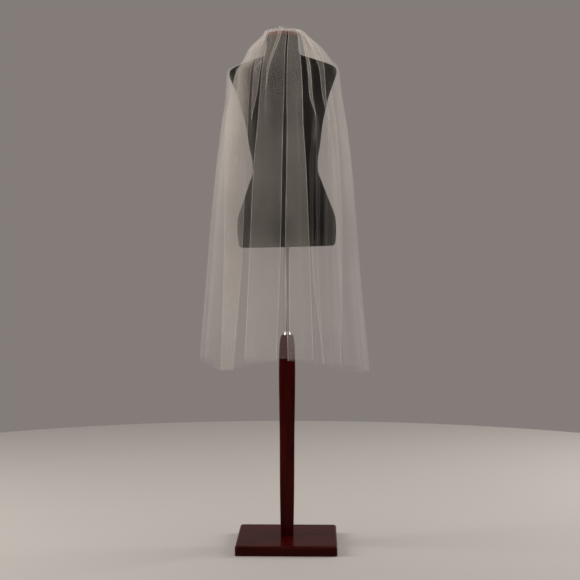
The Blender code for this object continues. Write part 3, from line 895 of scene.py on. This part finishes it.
def side_wave(turn, drop):
    """How far the soft waves of the two sides push the cloth out, growing down to the hem."""
    grown = max(0.0, (drop - WAVES_START) / (len(LEVELS) - 1 - WAVES_START))
    waves = (swing * np.exp(-(((turn - where) / wide) ** 2)) for _, where, wide, swing in SIDE_WAVES)
    return sum(waves) * grown * MM


def soft_creases(turn, drop):
    """(how far the hand-laid creases push the cloth out, how much thicker they make it look)."""
    push, thicker = np.zeros_like(turn), np.zeros_like(turn)
    for _, top, foot, first, last, height, wide, strength in CREASES:
        along = np.clip((drop - first) / (last - first), 0.0, 1.0)
        fade = smooth_step(0.0, CREASE_STARTED, along)
        if last <= len(LEVELS) - 1:
            fade = fade * smooth_step(1.0, CREASE_ENDING, along)
        ridge = np.exp(-(((turn - top - (foot - top) * along) / wide) ** 2)) * fade
        push += ridge * height * MM
        thicker += ridge * strength
    return push, thicker


def level_drops():
    """Drops for the rows of the sheet, about equally far apart down the cloth."""
    trial = np.linspace(0, len(LEVELS) - 1, TRIAL_DROPS)
    points = np.array([Drape(drop).place(TRIAL_TURN) for drop in trial])
    length = np.concatenate([[0], np.cumsum(np.linalg.norm(np.diff(points, axis=0), axis=1))])
    count = int(length[-1] / ROW_STEP)
    return np.interp(np.linspace(0, length[-1], count), length, trial)


def veil_cloth():
    """The cloth as a grid of points, with its crease strength and its turns round the drape."""
    low = len(LEVELS) - 2
    last = Drape(low)
    grid, creases, turns = [], [], []
    for drop in level_drops():
        row = cloth_row(Drape(drop), drop)
        turn = np.array(row.turn)
        here, out, along = drape_frames(drop, turn)
        pitch = PITCH - (PITCH - PITCH_AT_COMB) * max(0.0, 1 - drop / PITCH_GROWN_AT)
        push, thicker = soft_creases(turn, drop)
        swell = np.array(row.layer) * pitch + side_wave(turn, drop) + push
        points = here + out * swell[:, None] + along * np.array(row.push)[:, None]
        if drop > low:
            high = last.place(turn)[:, 2]
            points[:, 2] = high + (side_hem(turn, np.array(row.hem)) - high) * (drop - low)
        grid.append(points)
        # Painted shade: the net is thinned where it lies alone before the form, and this goes into the crease
        # number.
        before_form = smooth_step(*PAINTED_SHADE_TURNS, np.abs(turn)) * smooth_step(*PAINTED_SHADE_LEVELS, drop)
        creases.append(np.array(row.crease) + thicker - np.array(row.alone) * before_form)
        turns.append(turn)
    return np.array(grid), np.array(creases), np.array(turns)


def gathers(turns):
    """How thick the gathered net looks at each point, read from the table."""
    places = [row[1] for row in THICKNESS]
    rows = []
    for drop, turn in zip(level_drops(), turns):
        rows.append(np.interp(turn, places, [level_value(row[2:], drop) for row in THICKNESS]))
    return np.array(rows)


def net_places(turns):
    """Where each point lies on the net. Folded layers share their places, so that their threads line up."""
    stations = np.linspace(-2, 2, NET_STATIONS)
    drops = level_drops()
    pushed = np.maximum(gathers(np.tile(stations, (len(drops), 1))), 1.0)
    pushed = (pushed[:, 1:] + pushed[:, :-1]) / 2
    rows = []
    for row, (drop, turn) in enumerate(zip(drops, turns)):
        steps = np.linalg.norm(np.diff(Drape(drop).place(stations), axis=0), axis=1) * pushed[row]
        across = np.concatenate([[0], np.cumsum(steps)])
        across -= np.interp(0.0, stations, across)
        down = np.full(len(turn), row * ROW_STEP)
        rows.append(np.stack([np.interp(turn, stations, across), down], axis=1))
    return np.array(rows)


def make_veil():
    grid, creases, turns = veil_cloth()
    mesh = grid_mesh(grid)
    add_uv(mesh, "cloth", net_places(turns).reshape(-1, 2))
    add_number(mesh, "gather", gathers(turns))
    add_number(mesh, "crease", creases)
    return piece_from("veil_cloth", mesh, "veil net")


def make_heading(look):
    """The gathered top of the cloth, standing in small uneven waves on the comb's bar."""
    columns = look.heading_waves * POINTS_PER_WAVE + 1
    rows = []
    for rise in np.linspace(0, 1, HEADING_ROWS):
        row = []
        for share in np.linspace(-1, 1, columns):
            u = share * (COMB_HALF - EASE)
            angle = (share + 1) * look.heading_waves * math.pi
            sway = math.sin(angle) + STRAY * rise * math.sin(angle * 2.3 + 1.0)
            v = HEADING_MIDDLE + HEADING_SWING * (1 - SWING_LOST * rise) * sway
            lump = 1 + SLOW_LUMPS * math.cos(share * 3 * math.pi) + QUICK_LUMPS * math.sin(angle * 0.7)
            height = cap_height(abs(u)) + COMB_REST + COMB_THICK + 3 * GAP + rise * HEADING_HEIGHT * lump
            row.append(leaning(u, v, height))
        rows.append(row)
    grid = np.array(rows)
    mesh = grid_mesh(grid)
    across = np.linalg.norm(np.diff(grid, axis=1), axis=2)
    u = np.concatenate([np.zeros((len(grid), 1)), np.cumsum(across, axis=1)], axis=1)
    v = np.repeat(np.linspace(0, HEADING_HEIGHT, len(grid))[:, None], columns, axis=1)
    add_uv(mesh, "cloth", np.stack([u, v], axis=2).reshape(-1, 2))
    add_number(mesh, "gather", np.full(grid.shape[:2], look.heading_layers))
    add_number(mesh, "crease", np.repeat(np.linspace(CUT_EDGE, 1.5, len(grid))[:, None], columns, axis=1))
    return piece_from("gathered_top", mesh, "veil net")


# The comb, made of repeated wires and stitches by Geometry Nodes


def row_of_points(nodes, width, count):
    """A row of points along X, centred on the origin."""
    start, step = nodes.vector(X=width * -0.5), nodes.vector(X=width / (count - 1))
    sockets = {"Count": count, "Start Location": start, "Offset": step}
    return nodes.add("GeometryNodeMeshLine", sockets, {"mode": "OFFSET"})


def round_curve(nodes, sides, radius):
    return nodes.add("GeometryNodeCurvePrimitiveCircle", {"Resolution": sides, "Radius": radius})


def wire(nodes, curve, profile, caps=False):
    sockets = {"Curve": curve, "Profile Curve": profile, "Fill Caps": caps}
    return nodes.add("GeometryNodeCurveToMesh", sockets)


def set_out(nodes, points, piece, **others):
    """Puts a piece on every point."""
    sockets = {"Points": points, "Instance": piece, **others}
    return nodes.add("GeometryNodeInstanceOnPoints", sockets)


def moved(nodes, geometry, **how):
    return nodes.add("GeometryNodeTransform", {"Geometry": geometry, **how})


def over_cap(nodes, geometry):
    """Lifts flat geometry on to the cap's dome, then leans it as the torso leans."""
    x, y = nodes.first_two(nodes.add("GeometryNodeInputPosition"))
    reach = (x * x + y * y) / (CAP_RADIUS * CAP_RADIUS)
    dome = (1 - reach.math("MINIMUM", 0.999)).math("SQRT") * CAP_DOME
    lift = nodes.vector(Z=dome + (NECK_TOP + CAP_EDGE))
    raised = nodes.add("GeometryNodeSetPosition", {"Geometry": geometry, "Offset": lift})
    return moved(nodes, raised, Translation=(0, 0, FORM_BOTTOM), Rotation=(0, -FORM_LEAN, 0))


def nodes_piece(name, inputs, build, material, smooth_angle):
    """Runs a Geometry Nodes tree with named inputs and keeps the plain mesh that it makes."""
    tree = bpy.data.node_groups.new(name, "GeometryNodeTree")
    identifiers = {}
    for label, given in inputs.items():
        kind = "NodeSocketInt" if isinstance(given, int) else "NodeSocketFloat"
        identifiers[label] = tree.interface.new_socket(label, in_out="INPUT", socket_type=kind).identifier
    tree.interface.new_socket("Geometry", in_out="OUTPUT", socket_type="NodeSocketGeometry")
    nodes = Nodes(tree)
    sources = nodes.add("NodeGroupInput").socket.node.outputs
    made = build(nodes, {label: Value(nodes, sources[label]) for label in inputs})
    real = nodes.add("GeometryNodeRealizeInstances", {"Geometry": made})
    sockets = {"Geometry": over_cap(nodes, real), "Material": bpy.data.materials[material]}
    nodes.add("NodeGroupOutput", {0: nodes.add("GeometryNodeSetMaterial", sockets)})
    holder = bpy.data.objects.new(name + "_maker", bpy.data.meshes.new(name + "_maker"))
    bpy.context.scene.collection.objects.link(holder)
    modifier = holder.modifiers.new(name, "NODES")
    modifier.node_group = tree
    for label, given in inputs.items():
        modifier[identifiers[label]] = given
    bpy.context.view_layer.update()
    evaluated = holder.evaluated_get(bpy.context.evaluated_depsgraph_get())
    mesh = bpy.data.meshes.new_from_object(evaluated)
    holder.modifiers.remove(modifier)
    bpy.data.objects.remove(holder, do_unlink=True)
    return piece_from(name, mesh, material, smooth_angle)


def comb_tree(nodes, group):
    """A row of bent wire teeth, joined by a round bar."""
    gap, length, height = group["Gap between wires"], group["Tooth length"], group["Height"]
    sockets = {"Width": gap, "Height": length}
    loop = nodes.add("GeometryNodeCurvePrimitiveQuadrilateral", sockets, {"mode": "RECTANGLE"})
    sockets = {"Curve": loop, "Radius": gap * TOOTH_BEND, "Count": 5}
    bent = nodes.add("GeometryNodeFilletCurve", sockets, {"mode": "POLY"})
    bent = nodes.add("GeometryNodeResampleCurve", {"Curve": bent, "Count": 40})
    tooth = wire(nodes, bent, round_curve(nodes, 8, group["Wire radius"]))
    tooth = moved(nodes, tooth, Translation=nodes.vector(Y=length * 0.5, Z=height))
    teeth = set_out(nodes, row_of_points(nodes, group["Width"], group["Teeth"]), tooth)
    half = group["Width"] * 0.5 + BAR_END
    sockets = {"Start": nodes.vector(X=half * -1.0, Z=height), "End": nodes.vector(X=half, Z=height)}
    line = nodes.add("GeometryNodeCurvePrimitiveLine", sockets)
    line = nodes.add("GeometryNodeResampleCurve", {"Curve": line, "Count": 60})
    bar = wire(nodes, line, round_curve(nodes, 12, group["Bar radius"]), caps=True)
    joined = nodes.add("GeometryNodeJoinGeometry", {0: teeth})
    nodes.tree.links.new(bar.socket, joined.socket.node.inputs[0])
    return joined


def stitch_tree(nodes, group):
    """Turns of thread round the bar, each a little askew."""
    loop = round_curve(nodes, 20, group["Stitch radius"])
    thread = round_curve(nodes, 6, group["Thread radius"])
    ring = wire(nodes, loop, thread)
    upright = moved(nodes, ring, Rotation=(0, math.pi / 2, 0))
    sockets = {"Min": tuple(-tilt for tilt in STITCH_TILT), "Max": STITCH_TILT, "Seed": 7}
    askew = nodes.add("FunctionNodeRandomValue", sockets, {"data_type": "FLOAT_VECTOR"})
    points = row_of_points(nodes, group["Width"], group["Stitches"])
    rings = set_out(nodes, points, upright, Rotation=askew)
    return moved(nodes, rings, Translation=nodes.vector(Z=group["Height"]))


def make_comb(look):
    inputs = {
        "Teeth": look.comb_teeth,
        "Width": 2 * (COMB_HALF - TEETH_INSET),
        "Tooth length": TOOTH_LENGTH,
        "Gap between wires": TOOTH_GAP,
        "Wire radius": WIRE_RADIUS,
        "Bar radius": BAR_RADIUS,
        "Height": COMB_REST + COMB_THICK / 2,
    }
    return nodes_piece("hair_comb", inputs, comb_tree, "comb wire", 50)


def make_stitches(look):
    inputs = {
        "Stitches": look.stitches,
        "Width": 2 * (COMB_HALF - STITCH_INSET),
        "Stitch radius": STITCH_RADIUS,
        "Thread radius": THREAD_RADIUS,
        "Height": COMB_REST + COMB_THICK / 2,
    }
    return nodes_piece("comb_stitches", inputs, stitch_tree, "sewing thread", 60)


# The torso and its cap


def torso_curves():
    table = np.array([row[1:] for row in TORSO_SECTIONS], float) * MM
    heights = np.linspace(0, NECK_TOP, FORM_RINGS)
    heights = np.unique(np.concatenate([heights, table[:, 0], np.linspace(0, EDGE_TUCK, EDGE_RINGS)]))
    return heights, [steady_curve(table[:, 0], table[:, c], heights) for c in (1, 2, 3)]


def make_torso():
    """The jersey-covered torso, with a seam down each side and one down the far side."""
    heights, (halves, nears, fars) = torso_curves()
    rings, around = [], []
    for rise, mouth in ((SOCKET_DEPTH, 0.0), (MOUTH_DEPTH, 0.0), (0.0, MOUTH)):
        rings.append(circle(SOCKET_RADIUS + mouth, FORM_BOTTOM + rise, FORM_TURNS))
    under = [(halves[0] - EDGE_TUCK, nears[0] - EDGE_TUCK, fars[0] - EDGE_TUCK, 0.0)]
    for half, near, far, height in under + list(zip(halves, nears, fars, heights)):
        ring = []
        for i in range(FORM_TURNS):
            turn = 2 * math.pi * i / FORM_TURNS
            across, deep = math.cos(turn), math.sin(turn)
            ring.append(leaning(half * across, (far if deep > 0 else near) * deep, height))
        rings.append(ring)
    for ring in rings:
        points = np.array(ring)
        step = np.linalg.norm(np.roll(points, -1, axis=0) - points, axis=1)
        length = np.concatenate([[0], np.cumsum(step)[:-1]])
        around.append(np.stack([length, points[:, 2]], axis=1))
    shares = np.arange(FORM_TURNS) / FORM_TURNS
    apart = np.min([np.abs((shares - seam + 0.5) % 1 - 0.5) for seam in SEAMS], axis=0)
    mesh = ring_mesh(rings)
    add_uv(mesh, "knit", np.array(around).reshape(-1, 2))
    add_number(mesh, "seam", np.tile(np.clip(1 - apart * FORM_TURNS, 0, 1), len(rings)))
    face_outwards(mesh)
    return piece_from("torso_cover", mesh, "jersey knit", 50)


def make_cap():
    """The turned wooden cap that closes the neck."""
    foot = NECK_TOP + GAP
    profile = [(CAP_RADIUS - EASE, foot), (CAP_RADIUS - GAP, foot + GAP), (CAP_RADIUS, foot + EASE)]
    profile.append((CAP_RADIUS, NECK_TOP + CAP_EDGE))
    for degrees in range(6, 87, 5):
        reach = CAP_RADIUS * math.cos(math.radians(degrees))
        profile.append((reach, cap_height(reach)))
    rings = [[leaning(*point) for point in circle(radius, height, 128)] for radius, height in profile]
    return solid_piece("wooden_cap", rings, "mahogany cap", 50)


# The stand


def rounded_square(half, corner, height, steps):
    """A square section with round corners."""
    points = []
    for quarter in range(4):
        middle = math.pi / 4 + quarter * math.pi / 2
        cx = (half - corner) * math.copysign(1, math.cos(middle))
        cy = (half - corner) * math.copysign(1, math.sin(middle))
        for i in range(steps + 1):
            turn = (quarter + i / steps) * math.pi / 2
            points.append((cx + corner * math.cos(turn), cy + corner * math.sin(turn), height))
    return points


def make_base():
    """The square slab, with a bullnose round its top edge."""
    corner, steps = BASE_CORNER, BULLNOSE_STEPS
    rings = [rounded_square(BASE_HALF - EASE, corner - EASE, 0.0, steps)]
    rings.append(rounded_square(BASE_HALF, corner, EASE, steps))
    for i in range(steps + 1):
        turn = i / steps * math.pi / 2
        drawn = BULLNOSE * (1 - math.cos(turn))
        height = BASE_TOP - BULLNOSE + BULLNOSE * math.sin(turn)
        rings.append(rounded_square(BASE_HALF - drawn, corner, height, steps))
    rings.append(rounded_square(BASE_HALF - BULLNOSE - BASE_RIM, corner, BASE_TOP, steps))
    return solid_piece("base_board", rings, "mahogany across", 30)


def make_post():
    """The tapered post, bored down its middle for the rod."""
    stations, widths = [row[1] for row in POST_SECTIONS], [row[2] for row in POST_SECTIONS]
    heights = np.concatenate([np.linspace(*row) for row in POST_RINGS])
    halves = steady_curve(stations, widths, heights)
    rings = [rounded_square(h, h * POST_CORNER, z, CORNER_STEPS) for h, z in zip(halves, heights)]
    for drawn, below in POST_RIM:
        corner = halves[-1] * POST_CORNER
        rings.append(rounded_square(halves[-1] - drawn, corner, POST_TOP - below, CORNER_STEPS))
    bore = ((SOCKET_RADIUS + MOUTH, POST_TOP), (SOCKET_RADIUS, POST_TOP - MOUTH), (SOCKET_RADIUS, BORE_FOOT))
    rings += [circle(radius, height, len(rings[0])) for radius, height in bore]
    return solid_piece("turned_post", rings, "mahogany upright", 40)


def make_collar():
    """The small steel ring on top of the post."""
    foot, tall = POST_TOP + GAP, COLLAR_PROFILE[-1][1]
    rings = [circle(radius, foot + rise) for radius, rise in COLLAR_PROFILE]
    rings += [circle(SOCKET_RADIUS, foot + rise) for rise in (tall, 0.0)]
    return solid_piece("rod_collar", rings, "bright steel", 35, closed_stack=True)


def make_rod():
    """The steel rod that carries the torso."""
    top = FORM_BOTTOM + SOCKET_DEPTH - GAP
    rings = [circle(ROD_RADIUS - EASE, ROD_FOOT), circle(ROD_RADIUS, ROD_FOOT + EASE)]
    rings += [circle(ROD_RADIUS, height) for height in np.linspace(ROD_FOOT + 0.02, top - EASE, 12)]
    rings.append(circle(ROD_RADIUS - EASE, top))
    return solid_piece("steel_rod", rings, "polished steel", 35)


# The stage


def aim(thing, place, target):
    thing.location = place
    thing.rotation_euler = (Vector(target) - Vector(place)).to_track_quat("-Z", "Y").to_euler()


def make_stage(look):
    """A round pale floor. The even light of the room is the backdrop on every side."""
    rim = circle(look.floor_radius, 0.0)
    piece_from("studio_floor", mesh_from(rim, [tuple(range(len(rim)))]), "studio floor")


def make_camera(look):
    data = bpy.data.cameras.new("photo_camera")
    data.sensor_width = SENSOR_WIDTH
    data.lens = look.lens
    data.shift_y = look.lens_shift
    camera = bpy.data.objects.new("photo_camera", data)
    bpy.context.scene.collection.objects.link(camera)
    aim(camera, look.camera_place, look.camera_target)
    bpy.context.scene.camera = camera


def make_lights(look):
    world = bpy.data.worlds.new("studio")
    world.use_nodes = True
    background = world.node_tree.nodes["Background"]
    background.inputs["Color"].default_value = toned(look.room_colour)
    background.inputs["Strength"].default_value = look.room_light
    bpy.context.scene.world = world
    for name, place, size, power in LAMPS:
        data = bpy.data.lights.new(name, "AREA")
        data.shape = "RECTANGLE"
        data.size, data.size_y = size
        data.energy = getattr(look, power)
        data.color = LAMP_COLOUR
        light = bpy.data.objects.new(name, data)
        bpy.context.scene.collection.objects.link(light)
        light.visible_camera = False
        aim(light, place, LAMP_TARGET)


# Settings, operators and panel


class VeilSettings(bpy.types.PropertyGroup):
    net_pitch: FloatProperty(
        name="Net pitch", description="Width of one hole of the net", default=0.0016, unit="LENGTH"
    )
    net_cover: FloatProperty(
        name="Net cover",
        description="Share of a layer that its threads cover",
        default=0.125,
        subtype="FACTOR",
    )
    net_glow: FloatProperty(
        name="Net glow",
        description="Share of the threads' light that comes through from behind",
        default=0.55,
    )
    net_colour: FloatVectorProperty(
        name="Net colour", description="Colour of the threads", default=(0.87, 0.82, 0.76), subtype="COLOR"
    )
    crease_strength: FloatProperty(
        name="Crease strength", description="How many layers thicker a full crease looks", default=2.2
    )
    heading_waves: IntProperty(
        name="Heading waves", description="Small waves of the gathered top edge", default=22
    )
    heading_layers: FloatProperty(
        name="Heading layers",
        description="How many times the cloth is pushed together at its top edge",
        default=5.0,
    )
    comb_teeth: IntProperty(name="Comb teeth", description="Number of teeth of the comb", default=20)
    stitches: IntProperty(name="Stitches", description="Turns of thread round the comb's bar", default=34)


class FormSettings(bpy.types.PropertyGroup):
    jersey_colour: FloatVectorProperty(
        name="Jersey colour",
        description="Colour of the torso's cover",
        default=(0.008, 0.0072, 0.0068),
        subtype="COLOR",
    )
    knit_pitch: FloatProperty(
        name="Knit pitch", description="Width of one stitch of the knit", default=0.0013, unit="LENGTH"
    )
    wood_colour: FloatVectorProperty(
        name="Wood colour",
        description="Colour of the stained wood",
        default=(0.044, 0.0020, 0.0010),
        subtype="COLOR",
    )
    steel_colour: FloatVectorProperty(
        name="Steel colour", description="Colour of the rod", default=(0.27, 0.255, 0.245), subtype="COLOR"
    )
    steel_roughness: FloatProperty(name="Steel roughness", description="How dull the rod is", default=0.55)


class StageSettings(bpy.types.PropertyGroup):
    floor_colour: FloatVectorProperty(
        name="Floor colour", description="Colour of the floor", default=(0.50, 0.48, 0.46), subtype="COLOR"
    )
    floor_radius: FloatProperty(
        name="Floor radius", description="Radius of the floor", default=3.0, unit="LENGTH"
    )
    room_colour: FloatVectorProperty(
        name="Room colour",
        description="Colour of the even light and the backdrop",
        default=(1.0, 0.887, 0.835),
        subtype="COLOR",
    )
    camera_place: FloatVectorProperty(
        name="Camera place", description="Where the camera stands", default=(0.113, -4.8, 1.14), subtype="XYZ"
    )
    camera_target: FloatVectorProperty(
        name="Camera target",
        description="What the camera looks at",
        default=(0.010, 0.0, 0.981),
        subtype="XYZ",
    )
    lens: FloatProperty(name="Lens", description="Focal length in mm", default=85.0)
    lens_shift: FloatProperty(
        name="Lens shift", description="How far the lens is shifted down", default=-0.04
    )
    room_light: FloatProperty(name="Room light", description="Strength of the even light", default=0.228)
    side_light: FloatProperty(name="Side light", description="Power of each side light", default=110.0)
    front_light: FloatProperty(
        name="Front light", description="Power of the light at the camera", default=20.0
    )
    top_light: FloatProperty(name="Top light", description="Power of the light from above", default=42.0)


def dress(piece, body, slot, *nodes):
    """Makes a piece stand for CAD nodes and move with their body. The slot is not used."""
    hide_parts(*nodes)
    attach(piece, body)
    return piece


class MaterialsOperator(bpy.types.Operator):
    """Makes every finish of the veil, the form and the stand"""

    bl_idname = "veil.materials"
    bl_label = "Finishes"

    def execute(self, context):
        veil, form, stage = context.scene.veil, context.scene.veil_form, context.scene.veil_stage
        tulle_material(veil)
        jersey_material(form)
        wood_material(form, "mahogany upright", 2)
        # The base's copy of the wood is painted darker, at 0.8 of the wood colour: painted shade against the
        # light its top catches from the lamp above.
        wood_material(form, "mahogany across", 0, 0.8)
        # The cap's copy of the wood is painted 3.2 times lighter: painted light from above, which the cap's
        # top catches through the gathered net.
        wood_material(form, "mahogany cap", 0, 3.2)
        metal_material("polished steel", form.steel_colour, form.steel_roughness, LINES_UPRIGHT)
        metal_material("bright steel", COLLAR_STEEL, BRIGHT_ROUGHNESS, LINES_UPRIGHT)
        metal_material("comb wire", COMB_STEEL, BRIGHT_ROUGHNESS, LINES_ACROSS)
        thread_material()
        plain_material("studio floor", stage.floor_colour, 0.55)
        return {"FINISHED"}


class ClothOperator(bpy.types.Operator):
    """Drapes the gathered net from the comb over the form"""

    bl_idname = "veil.cloth"
    bl_label = "Veil"

    def execute(self, context):
        look = context.scene.veil
        heading = dress(make_heading(look), "dressed_form", "tulle", "gathered_heading")
        cloth = dress(make_veil(), "dressed_form", "tulle", "veil")
        return {"FINISHED"}


class CombOperator(bpy.types.Operator):
    """Makes the wire comb and the thread that holds the cloth to it"""

    bl_idname = "veil.comb"
    bl_label = "Comb"

    def execute(self, context):
        look = context.scene.veil
        dress(make_comb(look), "dressed_form", "comb_metal", "comb")
        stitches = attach(make_stitches(look), "dressed_form")
        return {"FINISHED"}


class FormOperator(bpy.types.Operator):
    """Makes the jersey torso and its wooden cap"""

    bl_idname = "veil.form"
    bl_label = "Dress form"

    def execute(self, context):
        dress(make_torso(), "dressed_form", "jersey", "torso")
        dress(make_cap(), "dressed_form", "mahogany", "neck_cap")
        return {"FINISHED"}


class StandOperator(bpy.types.Operator):
    """Makes the base, post, collar and rod"""

    bl_idname = "veil.stand"
    bl_label = "Stand"

    def execute(self, context):
        dress(make_base(), "stand", "mahogany", "base_slab")
        dress(make_post(), "stand", "mahogany", "post")
        dress(make_collar(), "clamp_collar", "steel", "collar")
        dress(make_rod(), "dressed_form", "steel", "rod")
        return {"FINISHED"}


class StageOperator(bpy.types.Operator):
    """Sets the floor, the backdrop, the lights and the camera"""

    bl_idname = "veil.stage"
    bl_label = "Stage"

    def execute(self, context):
        look = context.scene.veil_stage
        make_stage(look)
        make_lights(look)
        make_camera(look)
        context.scene.cycles.transparent_max_bounces = CLEAR_BOUNCES
        context.scene.view_settings.view_transform = "Standard"
        return {"FINISHED"}


OPERATORS = (MaterialsOperator, StageOperator, StandOperator, FormOperator, CombOperator, ClothOperator)


class VeilPanel(bpy.types.Panel):
    bl_label = "Bridal veil"
    bl_idname = "VIEW3D_PT_bridal_veil"
    bl_space_type = "VIEW_3D"
    bl_region_type = "UI"
    bl_category = "Veil"

    def draw(self, context):
        for settings in (context.scene.veil, context.scene.veil_form, context.scene.veil_stage):
            box = self.layout.box()
            for name in settings.bl_rna.properties.keys():
                if name not in ("rna_type", "name"):
                    box.prop(settings, name)
        for operator in OPERATORS:
            self.layout.operator(operator.bl_idname)


CLASSES = (VeilSettings, FormSettings, StageSettings, *OPERATORS, VeilPanel)


def register():
    for item in CLASSES:
        bpy.utils.register_class(item)
    bpy.types.Scene.veil = PointerProperty(type=VeilSettings)
    bpy.types.Scene.veil_form = PointerProperty(type=FormSettings)
    bpy.types.Scene.veil_stage = PointerProperty(type=StageSettings)


def unregister():
    del bpy.types.Scene.veil_stage
    del bpy.types.Scene.veil_form
    del bpy.types.Scene.veil
    for item in reversed(CLASSES):
        bpy.utils.unregister_class(item)


def main():
    register()
    bpy.ops.veil.materials()
    bpy.ops.veil.stage()
    bpy.ops.veil.stand()
    bpy.ops.veil.form()
    bpy.ops.veil.comb()
    bpy.ops.veil.cloth()


if __name__ == "__main__":
    main()
